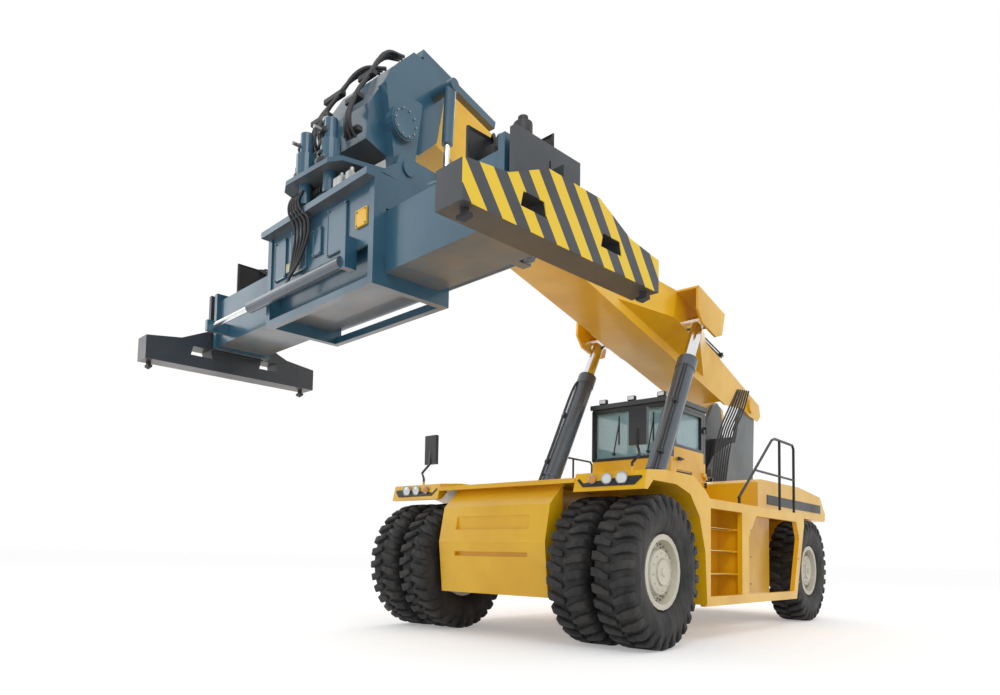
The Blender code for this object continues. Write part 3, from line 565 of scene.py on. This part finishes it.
def tyreProfile():
    t = tyreShape
    half = t["halfWidth"]
    side = [
        (-t["beadHalf"], t["bead"]),
        (-t["beadHalf"], 0.455),
        (-0.185, 0.475),
        (-0.215, 0.50),
        (-0.222, 0.52),
        (-0.240, 0.56),
        (-half, 0.66),
        (-half, 0.72),
        (-0.248, 0.80),
        (-0.232, 0.845),
        (-0.200, 0.870),
        (-0.14, t["base"]),
        (0.0, t["base"] + 0.004),
    ]
    return side + [(-x, r) for x, r in reversed(side[:-1])]


def makeTyreMesh():
    profile = tyreProfile()
    mesh = bpy.data.meshes.new("tyreProfile")
    count = len(profile)
    mesh.from_pydata([(x, 0, r) for x, r in profile], [(i, (i + 1) % count) for i in range(count)], [])
    obj = bpy.data.objects.new("tyreBody", mesh)
    bpy.context.scene.collection.objects.link(obj)
    deselect()
    obj.select_set(True)
    bpy.context.view_layer.objects.active = obj
    bpy.ops.object.mode_set(mode="EDIT")
    bpy.ops.mesh.select_all(action="SELECT")
    bpy.ops.mesh.spin(steps=96, angle=2 * math.pi, center=(0, 0, 0), axis=(1, 0, 0))
    bpy.ops.mesh.select_all(action="SELECT")
    bpy.ops.mesh.remove_doubles(threshold=0.0005)
    bpy.ops.mesh.normals_make_consistent(inside=False)
    bpy.ops.object.mode_set(mode="OBJECT")
    bpy.ops.object.shade_smooth_by_angle(angle=math.radians(35))
    return obj


def makeLugMesh():
    # Each lug runs from near the middle out over the shoulder, bending as it goes
    t = tyreShape
    rows = [
        # across, turn along the tread in metres, half width, inner radius, outer radius
        (0.012, 0.000, 0.036, 0.870, t["top"] - 0.001),
        (0.070, 0.012, 0.046, 0.870, t["top"]),
        (0.130, 0.040, 0.056, 0.868, t["top"]),
        (0.195, 0.055, 0.060, 0.850, t["top"] - 0.002),
        (0.240, 0.060, 0.058, 0.830, 0.916),
        (0.2592, 0.062, 0.048, 0.790, 0.862),
        (0.2590, 0.064, 0.030, 0.735, 0.775),
    ]
    verts, faces = [], []
    step = 2 * math.pi / t["lugs"]
    for side in (1, -1):
        for number in range(t["lugs"]):
            first = len(verts)
            start = step * (number + (0.5 if side < 0 else 0))
            for x, shift, half, low, high in rows:
                for radius, edge in ((low, -1), (high, -0.86), (high, 0.86), (low, 1)):
                    angle = start + (shift + edge * half) / t["top"]
                    verts.append((side * x, radius * math.sin(angle), radius * math.cos(angle)))
            for row in range(len(rows) - 1):
                a = first + row * 4
                for k in range(4):
                    after = (k + 1) % 4
                    quad = (a + k, a + after, a + 4 + after, a + 4 + k)
                    faces.append(quad if side > 0 else quad[::-1])
            end = first + (len(rows) - 1) * 4
            caps = [(first + 3, first + 2, first + 1, first), (end, end + 1, end + 2, end + 3)]
            faces += caps if side > 0 else [cap[::-1] for cap in caps]
    mesh = bpy.data.meshes.new("lugs")
    mesh.from_pydata(verts, [], faces)
    obj = bpy.data.objects.new("treadLugs", mesh)
    bpy.context.scene.collection.objects.link(obj)
    deselect()
    obj.select_set(True)
    bpy.context.view_layer.objects.active = obj
    bpy.ops.object.mode_set(mode="EDIT")
    bpy.ops.mesh.select_all(action="SELECT")
    bpy.ops.mesh.normals_make_consistent(inside=False)
    bpy.ops.object.mode_set(mode="OBJECT")
    applyBevel(obj, 0.006, 1)
    bpy.ops.object.shade_smooth_by_angle(angle=math.radians(50))
    return obj


def makeTyres():
    master = makeTyreMesh()
    lugs = makeLugMesh()
    for side, sign in (("right", 1), ("left", -1)):
        wheels = [(f"front_tyre_{side}_inner", f"front_wheel_{side}"), (f"front_tyre_{side}_outer", f"front_wheel_{side}")]
        wheels.append((f"rear_tyre_{side}", f"rear_wheel_{side}"))
        for order, (node, body) in enumerate(wheels):
            centre = (nodeLow(node) + nodeHigh(node)) / 2
            copies = []
            for source in (master, lugs):
                copy = source.copy()
                copy.data = source.data.copy()
                bpy.context.scene.collection.objects.link(copy)
                roll = Matrix.Rotation(math.radians(3.7 * order), 4, "X")
                copy.data.transform(Matrix.Translation(centre) @ roll @ Matrix.Rotation(0 if sign > 0 else math.pi, 4, "Z"))
                copies.append(copy)
            tyre = joinPieces("tyre_" + node, copies, body, "tyreRubber")
            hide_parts(node)
    for source in (master, lugs):
        bpy.data.objects.remove(source)


makeTyres()
print("tyres made")


# Rims: bolt rings, hand holes and hub cover

rimShape = {"bolts": 24, "boltRing": 0.345, "boltRadius": 0.013, "hubBolts": 12, "hubRing": 0.225}


def makeRimDetail(side, sign, node, body, y, facePlane, hubPlane):
    centreZ = (nodeLow(node).z + nodeHigh(node).z) / 2
    nuts, holeShade, light = [], [], []
    for number in range(rimShape["bolts"]):
        angle = 2 * math.pi * number / rimShape["bolts"]
        cy, cz = math.cos(angle), math.sin(angle)
        place = (sign * facePlane, y + rimShape["boltRing"] * cy, centreZ + rimShape["boltRing"] * cz)
        nuts.append(addRound(place, (place[0] + sign * 0.03, place[1], place[2]), rimShape["boltRadius"], 6, 0.002))
        # Black discs on the rim face paint the shade seen through each hand hole
        hole = (sign * (facePlane + 0.001), y + 0.318 * math.cos(angle + 0.13), centreZ + 0.318 * math.sin(angle + 0.13))
        holeShade.append(addRound(hole, (hole[0] + sign * 0.004, hole[1], hole[2]), 0.0125, 10, 0.0))
    for number in range(rimShape["hubBolts"]):
        angle = 2 * math.pi * number / rimShape["hubBolts"] + 0.1
        ring = rimShape["hubRing"]
        place = (sign * hubPlane, y + ring * math.cos(angle), centreZ + ring * math.sin(angle))
        light.append(addRound((place[0] - sign * 0.03, *place[1:]), (place[0] + sign * 0.012, *place[1:]), 0.012, 6, 0.002))
    light.append(addRound((sign * (hubPlane - 0.01), y, centreZ), (sign * (hubPlane + 0.018), y, centreZ), 0.16, 32, 0.006, 0.006))
    light.append(addRound((sign * (hubPlane - 0.01), y, centreZ), (sign * (hubPlane + 0.030), y, centreZ), 0.05, 20, 0.005))
    joinPieces(f"wheelNuts_{node}", nuts, body, "zincSteel")
    joinPieces(f"handHoleShade_{node}", holeShade, body, "blackPaint")
    joinPieces(f"hubCover_{node}", light, body, "rimPaint")


for side, sign in (("right", 1), ("left", -1)):
    makeRimDetail(side, sign, "front_rim_" + side, "front_wheel_" + side, frontAxleY, 2.00, 2.088)
    makeRimDetail(side, sign, "rear_rim_" + side, "rear_wheel_" + side, frontAxleY + wheelbase, 1.72, 1.798)
print("rims made")


# Fender lamps

lampPanel = {"x": (1.20, 2.08), "z": (1.955, 2.135), "thick": 0.012, "cut": 0.09}


def surfaceAlong(node, start, direction):
    # Where a straight line first meets a node, as a distance from its start
    hit, place, _, _ = nodes[node].ray_cast(Vector(start), Vector(direction).normalized())
    if not hit:
        raise ValueError(f"the line misses {node}")
    return place


def addPlate(points, thickness):
    # A flat plate whose outline is given in space, thickened behind its face, with soft edges
    deselect()
    bpy.ops.mesh.primitive_plane_add(size=1)
    obj = bpy.context.object
    mesh = bpy.data.meshes.new("plate")
    mesh.from_pydata([tuple(point) for point in points], [], [tuple(range(len(points)))])
    obj.data = mesh
    solid = obj.modifiers.new("thick", "SOLIDIFY")
    solid.thickness = thickness
    solid.offset = 0
    bpy.ops.object.modifier_apply(modifier=solid.name)
    applyBevel(obj, min(0.004, thickness * 0.3), 1)
    return obj


def makeFenderLamps(side, sign):
    low, high = lampPanel["x"]
    bottom, top = lampPanel["z"]
    middle = (bottom + top) / 2
    node = "fender_" + side
    front = yFrom(-2)
    cut = lampPanel["cut"]
    outline = ((low, middle), (low + cut, top), (high - cut, top), (high, middle), (high - cut, bottom), (low + cut, bottom))
    places = []
    for x, z in outline:
        spot = surfaceAlong(node, (sign * min(max(x, 1.2), 2.08), front, z), (0, 1, 0))
        places.append(Vector((sign * x, spot.y - lampPanel["thick"] * 0.6, z)))
    joinPieces("lampPanel_" + side, [addPlate(places, lampPanel["thick"])], "chassis", "blackPaint")
    for word, x, radius, finish in (("main", 1.82, 0.066, "lampGlass"), ("dipped", 1.62, 0.060, "lampGlass"), ("turn", 1.42, 0.045, "amberLens")):
        spot = surfaceAlong(node, (sign * x, front, middle), (0, 1, 0))
        face = spot.y - lampPanel["thick"]
        ring = addRound((sign * x, face, middle), (sign * x, face - 0.022, middle), radius + 0.012, 28, 0.004, 0.008)
        lens = addRound((sign * x, face, middle), (sign * x, face - 0.019, middle), radius, 28, 0.008)
        joinPieces(f"lampRing_{word}_{side}", [ring], "chassis", "zincSteel")
        joinPieces(f"lampLens_{word}_{side}", [lens], "chassis", finish)


for side, sign in (("right", 1), ("left", -1)):
    makeFenderLamps(side, sign)
print("lamps made")


# Lift cylinders: gland collars and pipes


liftSetup = {"foot": (1.12, 0.75), "ear": (3.62, 5.116), "x": 0.954, "gland": 4.19, "radius": 0.155}


def makeLiftDetails(side, sign):
    foot = Vector((sign * liftSetup["x"], yFrom(liftSetup["foot"][0]), liftSetup["foot"][1]))
    ear = Vector((sign * liftSetup["x"], yFrom(liftSetup["ear"][0]), liftSetup["ear"][1]))
    along = (ear - foot).normalized()
    side_out = Vector((sign, 0, 0))
    front = along.cross(Vector((1, 0, 0))).normalized()
    if front.y > 0:
        front = -front
    radius = liftSetup["radius"]
    body = "lift_barrel_" + side
    rings = []
    for start, end, extra in ((4.02, 4.19, 0.006), (3.94, 3.97, 0.004), (1.9, 1.94, 0.010), (0.5, 0.56, 0.012)):
        rings.append(addRound(foot + along * start, foot + along * end, radius + extra, 40, 0.006))
    joinPieces("glandCollar_" + side, rings, body, "cylinderPaint")
    bolts = []
    for number in range(12):
        angle = 2 * math.pi * number / 12
        out = (side_out * math.cos(angle) + front * math.sin(angle)) * (radius - 0.012)
        bolts.append(addRound(foot + along * 4.185 + out, foot + along * 4.205 + out, 0.012, 6, 0.002))
    joinPieces("glandBolts_" + side, bolts, body, "zincSteel")
    pipes = []
    for turn in (0.35, 0.62):
        out = side_out * math.sin(turn) + front * math.cos(turn)
        lift = out * (radius + 0.032)
        points = [foot + along * share + lift for share in (0.7, 1.5, 2.6, 3.85)]
        points += [foot + along * 3.98 + out * (radius + 0.01)]
        pipes.append(addHose(points, 0.014))
    for share in (1.2, 2.2, 3.2):
        out = side_out * math.sin(0.48) + front * math.cos(0.48)
        spot = foot + along * share + out * (radius + 0.02)
        clip = addBlock((-0.05, -0.03, -0.03), (0.05, 0.03, 0.03), 0.006)
        across = out.cross(along)
        clip.data.transform(Matrix((across, out, along)).transposed().to_4x4())
        clip.data.transform(Matrix.Translation(spot))
        pipes.append(clip)
    joinPieces("liftPipes_" + side, pipes, body, "blackPaint")


for side, sign in (("right", 1), ("left", -1)):
    makeLiftDetails(side, sign)
print("lift cylinders detailed")


# Head: toothed slew ring, motors, hoses and pins

ringSetup = {"teeth": 72, "radius": 0.485, "z": (4.905, 4.965)}


def makeSlewRing():
    low, high = ringSetup["z"]
    teeth = []
    pitch = 2 * math.pi / ringSetup["teeth"]
    for number in range(ringSetup["teeth"]):
        tooth = addBlock((ringSetup["radius"] - 0.012, -0.011, low), (ringSetup["radius"] + 0.022, 0.011, high), 0.004)
        tooth.data.transform(Matrix.Rotation(pitch * number, 4, "Z"))
        teeth.append(tooth)
    joinPieces("slewTeeth", teeth, "rotator", "castIron", slewMatrix)
    bolts = []
    for number in range(36):
        angle = 2 * math.pi * number / 36
        place = (0.39 * math.cos(angle), 0.39 * math.sin(angle))
        bolts.append(addRound((*place, 5.078), (*place, 5.10), 0.014, 6, 0.002))
    joinPieces("ringBolts", bolts, "head", "zincSteel", slewMatrix)


def makeMotors():
    pieces, caps = [], []
    for u in (-0.21, 0.21):
        for low, high, radius in ((5.09, 5.16, 0.125), (5.20, 5.24, 0.108), (5.30, 5.36, 0.100), (5.44, 5.50, 0.088)):
            pieces.append(addRound((u, -0.53, low), (u, -0.53, high), radius, 28, 0.008))
        for number in range(8):
            angle = 2 * math.pi * number / 8
            place = (u + 0.107 * math.cos(angle), -0.53 + 0.107 * math.sin(angle))
            caps.append(addRound((*place, 5.155), (*place, 5.178), 0.011, 6, 0.002))
        caps.append(addRound((u, -0.53, 5.585), (u, -0.53, 5.625), 0.055, 20, 0.006))
        for v in (-0.66, -0.62):
            caps.append(addRound((u + 0.02, v, 5.46), (u + 0.02, v - 0.05, 5.46), 0.02, 12, 0.003))
    joinPieces("motorBands", pieces, "head", "blackPaint", slewMatrix)
    joinPieces("motorFittings", caps, "head", "zincSteel", slewMatrix)


def makeHeadHoses():
    hoses = []
    for number, (x, reach) in enumerate(((-0.30, 0.0), (-0.22, 0.02), (-0.12, 0.04), (0.26, 0.0), (0.33, 0.03), (0.40, 0.05))):
        points = [
            (x * 0.6, yFrom(-2.72), 6.80),
            (x * 0.8, yFrom(-3.00) - reach, 6.64),
            (x, yFrom(-3.30) - reach, 6.20),
            (x * 1.05, yFrom(-3.50) - reach, 5.85),
            (x * 1.0, yFrom(-3.56) - reach, 5.55),
            (x * 0.98, yFrom(-3.52), 5.47 - 0.01 * number),
        ]
        hoses.append(addHose(points, 0.019 if number % 2 else 0.024, 3))
    joinPieces("noseHoses", hoses, "top_boom", "hoseRubber")
    clips = []
    for z, y in ((6.20, -3.33), (5.86, -3.50), (5.50, -3.51)):
        clips.append(addBlock((-0.38, yFrom(y) - 0.045, z - 0.03), (-0.06, yFrom(y) + 0.03, z + 0.03), 0.01))
        clips.append(addBlock((0.22, yFrom(y) - 0.045, z - 0.03), (0.46, yFrom(y) + 0.03, z + 0.03), 0.01))
    joinPieces("hoseClamps", clips, "top_boom", "blackPaint")


def makePins():
    pins, plates = [], []
    for sign in (1, -1):
        y, z = yFrom(-2.96), 5.23
        start = surfaceAlong("boom_nose", (sign * 2, y, z), (-sign, 0, 0)).x
        pins.append(addRound((start - sign * 0.02, y, z), (start + sign * 0.035, y, z), 0.085, 32, 0.008, 0.01))
        plates.append(addRound((start - sign * 0.02, y, z), (start + sign * 0.012, y, z), 0.135, 36, 0.005))
    joinPieces("pendulumPins", pins, "top_boom", "brassPin")
    joinPieces("pinPlates", plates, "top_boom", "bluePaint")
    covers, bolts = [], []
    for sign in (1, -1):
        y, z = yFrom(-3.02), 5.72
        x = 0.61
        covers.append(addRound((sign * (x - 0.01), y, z), (sign * (x + 0.016), y, z), 0.17, 40, 0.006, 0.008))
        for number in range(10):
            angle = 2 * math.pi * number / 10
            spot = (y + 0.148 * math.cos(angle), z + 0.148 * math.sin(angle))
            bolts.append(addRound((sign * (x + 0.01), *spot), (sign * (x + 0.026), *spot), 0.011, 6, 0.002))
    joinPieces("noseCovers", covers, "top_boom", "bluePaint")
    joinPieces("coverBolts", bolts, "top_boom", "zincSteel")


makeSlewRing()
makeMotors()
makeHeadHoses()
makePins()
print("head detailed")


# Spreader: valve boxes, plates, pipes and the cluster over the near end

spreaderPlates = (
    # u low, u high, z low, z high, finish: plates on the front of the sliding frame
    (-0.86, -0.62, 4.16, 4.62, "bluePaint"),
    (-0.50, -0.18, 4.14, 4.64, "bluePaint"),
    (-0.06, 0.10, 4.22, 4.52, "bluePaint"),
    (0.22, 0.56, 4.14, 4.64, "bluePaint"),
    (0.72, 0.90, 4.28, 4.46, "yellowHead"),
    (-0.60, -0.52, 4.20, 4.30, "blankPlate"),
)


def makeSpreaderDetails():
    groups = {}
    for left, right, low, high, finish in spreaderPlates:
        piece = addBlock((left, -0.505, low), (right, -0.476, high), 0.006, 0.02)
        groups.setdefault(finish, []).append(piece)
    for finish, pieces in groups.items():
        joinPieces("framePlates_" + finish, pieces, "rotator", finish, slewMatrix)
    bolts = []
    for left, right, low, high, _ in spreaderPlates[:5]:
        for u in (left + 0.02, right - 0.02):
            for z in (low + 0.02, high - 0.02):
                bolts.append(addRound((u, -0.50, z), (u, -0.516, z), 0.009, 6, 0.002))
    joinPieces("plateBolts", bolts, "rotator", "zincSteel", slewMatrix)
    hoses = []
    for number in range(5):
        u = -0.34 + 0.05 * number
        points = [
            (u, -0.40, 5.02),
            (u + 0.01, -0.60, 4.93),
            (u - 0.02, -0.63, 4.80),
            (u + 0.02 * number, -0.56, 4.62),
            (u - 0.04, -0.55, 4.30),
            (u - 0.10 - 0.06 * number, -0.56, 4.04),
        ]
        hoses.append(addHose(points, 0.016, 2))
    joinPieces("frameHoses", hoses, "rotator", "hoseRubber", slewMatrix)
    valves = []
    for u, width, z in ((-0.42, 0.10, 4.80), (-0.26, 0.09, 4.81), (0.38, 0.16, 4.80), (0.60, 0.07, 4.79)):
        valves.append(addBlock((u, -0.56, 4.77), (u + width, -0.44, z + 0.10), 0.012))
        valves.append(addRound((u + width / 2, -0.50, z + 0.10), (u + width / 2, -0.50, z + 0.15), 0.022, 14, 0.004))
    joinPieces("frameValves", valves, "rotator", "zincSteel", slewMatrix)


def makeEndCluster(sign):
    # A dark guard with a round actuator over each end of the main beam
    guard = [
        addBlock((sign * 2.10, -0.34, 4.415), (sign * 2.13, 0.30, 4.80), 0.006, 0.03),
        addBlock((sign * 2.10, 0.28, 4.415), (sign * 2.56, 0.30, 4.80), 0.006, 0.03),
    ]
    parts = [
        addRound((sign * 2.42, 0.04, 4.415), (sign * 2.42, 0.04, 4.60), 0.115, 28, 0.010),
        addRound((sign * 2.42, 0.04, 4.60), (sign * 2.42, 0.04, 4.66), 0.140, 28, 0.008),
        addRound((sign * 2.42, 0.04, 4.66), (sign * 2.42, 0.04, 4.84), 0.085, 28, 0.012),
        addRound((sign * 2.42, 0.04, 4.84), (sign * 2.42, 0.04, 4.90), 0.045, 20, 0.006),
        addBlock((sign * 2.20, -0.20, 4.415), (sign * 2.30, 0.24, 4.62), 0.012),
        addRound((sign * 2.25, -0.10, 4.62), (sign * 2.25, -0.10, 4.72), 0.030, 16, 0.005),
        addRound((sign * 2.25, 0.10, 4.62), (sign * 2.25, 0.10, 4.70), 0.030, 16, 0.005),
    ]
    hoses = []
    for number, v in enumerate((-0.12, -0.02, 0.08, 0.18)):
        points = [(sign * 2.25, v, 4.60), (sign * 2.20, v * 0.8, 4.78 + 0.03 * number), (sign * 2.05, v * 0.5 + 0.1, 4.74), (sign * 1.98, 0.2, 4.52), (sign * 1.9, 0.28, 4.44)]
        hoses.append(addHose(points, 0.014, 2))
    word = "right" if sign > 0 else "left"
    joinPieces("clusterGuard_" + word, guard, "spreader", "blackPaint", slewMatrix)
    joinPieces("clusterActuator_" + word, parts, "spreader", "castIron", slewMatrix)
    joinPieces("clusterHoses_" + word, hoses, "spreader", "hoseRubber", slewMatrix)


makeSpreaderDetails()
makeEndCluster(1)
makeEndCluster(-1)
print("spreader detailed")


# Boom: ribs, bolted pads, hose run and tower hoses


def makeBoomDetails():
    ribs = []
    for sign in (1, -1):
        for s in (8.27, 8.45):
            low, high = onBoom(0, s, -0.34), onBoom(0, s, 0.34)
            bar = addBlock((-0.02, -0.02, -(high - low).length / 2), (0.02, 0.02, (high - low).length / 2), 0.005)
            bar.data.transform(Matrix.Rotation(math.radians(-11), 4, "X"))
            middle = (low + high) / 2
            spot = surfaceAlong("outer_boom", (sign * 3, middle.y, middle.z), (-sign, 0, 0))
            bar.data.transform(Matrix.Translation((spot.x + sign * 0.012, middle.y, middle.z)))
            ribs.append(bar)
    joinPieces("collarRibs", ribs, "main_boom", "yellowPaint")
    pads, bolts = [], []
    for s in (8.38,):
        for t in (-0.22, 0.20):
            for sign in (1, -1):
                middle = onBoom(0, s, t)
                spot = surfaceAlong("outer_boom", (sign * 3, middle.y, middle.z), (-sign, 0, 0))
                pads.append(addRound((spot.x - sign * 0.004, middle.y, middle.z), (spot.x + sign * 0.018, middle.y, middle.z), 0.07, 24, 0.005))
                for number in range(6):
                    angle = 2 * math.pi * number / 6
                    place = (middle.y + 0.048 * math.cos(angle), middle.z + 0.048 * math.sin(angle))
                    bolts.append(addRound((spot.x + sign * 0.012, *place), (spot.x + sign * 0.026, *place), 0.009, 6, 0.002))
    joinPieces("wearPadCovers", pads, "main_boom", "yellowPaint")
    joinPieces("wearPadBolts", bolts, "main_boom", "zincSteel")
    hoses = []
    for number in range(4):
        t = 0.49 + 0.03 * (number % 2)
        points = [onBoom(0.30 + 0.03 * number, s, t) for s in (1.5, 2.4, 4.4, 6.2, 8.2)]
        hoses.append(addHose(points, 0.014, 2))
    joinPieces("boomTopPipes", hoses, "main_boom", "hoseRubber")
    clips = []
    for s in (1.6, 2.6, 4.0, 5.4, 6.8, 8.0):
        centre = onBoom(0.345, s, 0.505)
        clip = addBlock((-0.08, -0.02, -0.04), (0.08, 0.02, 0.04), 0.006)
        clip.data.transform(Matrix.Rotation(math.radians(-11), 4, "X"))
        clip.data.transform(Matrix.Translation(centre))
        clips.append(clip)
    joinPieces("boomPipeClips", clips, "main_boom", "blackPaint")


def makeTowerHoses():
    hoses = []
    for number in range(7):
        x = 0.42 + 0.022 * number
        points = [
            (x, yFrom(5.35 + 0.05 * number), 2.10),
            (x + 0.02, yFrom(5.45 + 0.05 * number), 2.70),
            (x, yFrom(5.75 + 0.06 * number), 3.50),
            (x - 0.01, yFrom(6.35 + 0.07 * number), 4.20),
            (x - 0.02, yFrom(6.75 + 0.05 * number), 4.62),
        ]
        hoses.append(addHose(points, 0.017, 2))
    joinPieces("towerHoses", hoses, "chassis", "hoseRubber")
    fan = [addRound((0.46, yFrom(5.05), 2.42), (0.60, yFrom(5.05), 2.42), 0.22, 40, 0.01, 0.02)]
    fan.append(addRound((0.58, yFrom(5.05), 2.42), (0.62, yFrom(5.05), 2.42), 0.06, 20, 0.008))
    joinPieces("towerFan", fan, "chassis", "blackPaint")
    blades = []
    for number in range(8):
        blade = addBlock((-0.004, -0.03, 0.05), (0.004, 0.03, 0.19), 0.002)
        blade.data.transform(Matrix.Rotation(0.5, 4, "Z"))
        blade.data.transform(Matrix.Rotation(2 * math.pi * number / 8, 4, "X"))
        blade.data.transform(Matrix.Translation((0.592, yFrom(5.05), 2.42)))
        blades.append(blade)
    joinPieces("towerFanBlades", blades, "chassis", "zincSteel")
    valves = []
    for number in range(4):
        y = yFrom(5.40 + 0.14 * number)
        valves.append(addBlock((0.50, y, 2.10), (0.62, y + 0.09, 2.26), 0.01))
        valves.append(addRound((0.56, y + 0.045, 2.26), (0.56, y + 0.045, 2.32), 0.022, 14, 0.004))
    joinPieces("towerValves", valves, "chassis", "yellowHead")


makeBoomDetails()
makeTowerHoses()
print("boom detailed")


# Cab: wipers, screen seal, grille, latch and work lamps

cabSetup = {"front": 3.05, "rear": 4.40, "half": 0.74, "roof": 3.80}


def makeCabDetails():
    front = yFrom(cabSetup["front"])
    wipers = []
    for x in (-0.30, 0.34):
        wipers.append(addRound((x, front - 0.03, 2.90), (x + 0.10, front - 0.035, 3.42), 0.011, 10, 0.002))
        wipers.append(addBlock((x + 0.086, front - 0.032, 3.06), (x + 0.112, front - 0.016, 3.56), 0.004))
        wipers.append(addRound((x, front, 2.90), (x, front - 0.05, 2.90), 0.026, 16, 0.004))
    joinPieces("wipers", wipers, "chassis", "blackPaint")
    frames = []
    for x in (-0.72, 0.72):
        frames.append(addBlock((x - 0.03, front - 0.012, 2.80), (x + 0.03, front + 0.01, 3.70), 0.006))
    frames.append(addBlock((-0.73, front - 0.012, 3.64), (0.73, front + 0.01, 3.72), 0.006))
    frames.append(addBlock((-0.73, front - 0.012, 2.79), (0.73, front + 0.01, 2.84), 0.006))
    joinPieces("screenSeal", frames, "chassis", "blackPaint")
    lamps = []
    for x in (-0.55, 0.0, 0.55):
        lamps.append(addBlock((x - 0.07, front + 0.01, 3.815), (x + 0.07, front + 0.09, 3.90), 0.012))
    joinPieces("roofLamps", lamps, "chassis", "blackPaint")
    lenses = [addBlock((x - 0.055, front + 0.004, 3.83), (x + 0.055, front + 0.014, 3.888), 0.003) for x in (-0.55, 0.0, 0.55)]
    joinPieces("roofLampLenses", lenses, "chassis", "lampGlass")
    louvres = []
    for number in range(7):
        z = 2.315 + 0.04 * number
        louvres.append(addBlock((0.722, yFrom(3.27), z), (0.744, yFrom(3.83), z + 0.018), 0.003))
    joinPieces("cabGrille", louvres, "chassis", "blackPaint")
    latch = [addBlock((0.765, yFrom(3.24), 2.74), (0.790, yFrom(3.36), 2.80), 0.006), addBlock((0.785, yFrom(3.25), 2.755), (0.80, yFrom(3.42), 2.785), 0.005)]
    joinPieces("doorLatch", latch, "door", "blackPaint")
    hinges = [addRound((0.765, yFrom(4.36), z), (0.765, yFrom(4.36), z + 0.10), 0.02, 14, 0.003) for z in (2.36, 3.34)]
    joinPieces("doorHinges", hinges, "chassis", "blackPaint")


makeCabDetails()
print("cab detailed")


# Body: bands, louvres, caps, steps and rear lamps


def makeBodyDetails():
    bands, louvres, caps, lenses, treads, bolts = [], [], [], [], [], []
    for sign in (1, -1):
        bands.append(addBlock((sign * 1.550, yFrom(5.1), 2.10), (sign * 1.560, yFrom(8.2), 2.27), 0.003))
        for number in range(9):
            y = yFrom(3.45 + 0.05 * number)
            louvres.append(addBlock((sign * 1.66, y, 0.95), (sign * 1.672, y + 0.022, 1.25), 0.003))
        caps.append(addRound((sign * 1.75, yFrom(2.72), 1.93), (sign * 1.75, yFrom(2.72), 1.985), 0.06, 24, 0.008, 0.006))
        for z in (0.53, 0.88, 1.21, 1.53):
            for number in range(7):
                y = yFrom(1.72 + 0.11 * number)
                treads.append(addBlock((sign * 1.80, y, z + 0.001), (sign * 2.0, y + 0.02, z + 0.010), 0.003))
        for x in (0.98, 1.12, 1.26):
            lenses.append(addRound((sign * x, yFrom(8.50), 1.72), (sign * x, yFrom(8.525), 1.72), 0.05, 24, 0.006))
        for y in (2.95, 5.15):
            for z in (0.75, 1.15, 1.55):
                bolts.append(addRound((sign * 2.045, yFrom(y), z), (sign * 2.062, yFrom(y), z), 0.012, 6, 0.002))
    joinPieces("hoodBands", bands, "chassis", "blackPaint")
    joinPieces("tankLouvres", louvres, "chassis", "yellowPaint")
    joinPieces("tankCaps", caps, "chassis", "blackPaint")
    joinPieces("rearLamps", lenses, "chassis", "amberLens")
    joinPieces("stepTreads", treads, "chassis", "plateBrown")
    joinPieces("sideBolts", bolts, "chassis", "zincSteel")


makeBodyDetails()
print("body detailed")


# Floor and light


def makeStage():
    deselect()
    bpy.ops.mesh.primitive_plane_add(size=400, location=(0, 0, 0))
    floor = bpy.context.object
    floor.name = "floor"
    made, tree, shader = startMaterial("paleFloor")
    shader.inputs["Base Color"].default_value = (0.86, 0.86, 0.86, 1)
    shader.inputs["Roughness"].default_value = 0.9
    floor.data.materials.append(made)
    path = tree.nodes.new("ShaderNodeLightPath")
    seen = mathNode(tree, "MAXIMUM", path.outputs["Is Camera Ray"], path.outputs["Is Glossy Ray"])
    seen = mathNode(tree, "MAXIMUM", seen, path.outputs["Is Transmission Ray"])
    tree.links.new(mathNode(tree, "MULTIPLY", seen, 0.30), shader.inputs["Emission Strength"])
    shader.inputs["Emission Color"].default_value = (1, 1, 1, 1)
    world = bpy.data.worlds.new("softSky")
    bpy.context.scene.world = world
    world.use_nodes = True
    tree = world.node_tree
    background = tree.nodes["Background"]
    path = tree.nodes.new("ShaderNodeLightPath")
    seen = mathNode(tree, "MAXIMUM", path.outputs["Is Camera Ray"], path.outputs["Is Glossy Ray"])
    seen = mathNode(tree, "MAXIMUM", seen, path.outputs["Is Transmission Ray"])
    background.inputs["Color"].default_value = (1, 1, 1, 1)
    tree.links.new(rangeOf(tree, seen, 0, 1, 0.75, 1.0), background.inputs["Strength"])
    lamps = {
        "keyLamp": ((14, -18, 20), 1500, 10),
        "fillLamp": ((-16, -10, 12), 500, 12),
        "backLamp": ((-6, 18, 16), 700, 12),
    }
    for name, (place, power, size) in lamps.items():
        bpy.ops.object.light_add(type="AREA", location=place)
        lamp = bpy.context.object
        lamp.name = name
        lamp.data.energy = power
        lamp.data.size = size
        lamp.rotation_euler = (Vector((0, 0, 2)) - Vector(place)).to_track_quat("-Z", "Y").to_euler()
    bpy.context.scene.view_settings.view_transform = "Standard"


makeStage()
print("stage made")
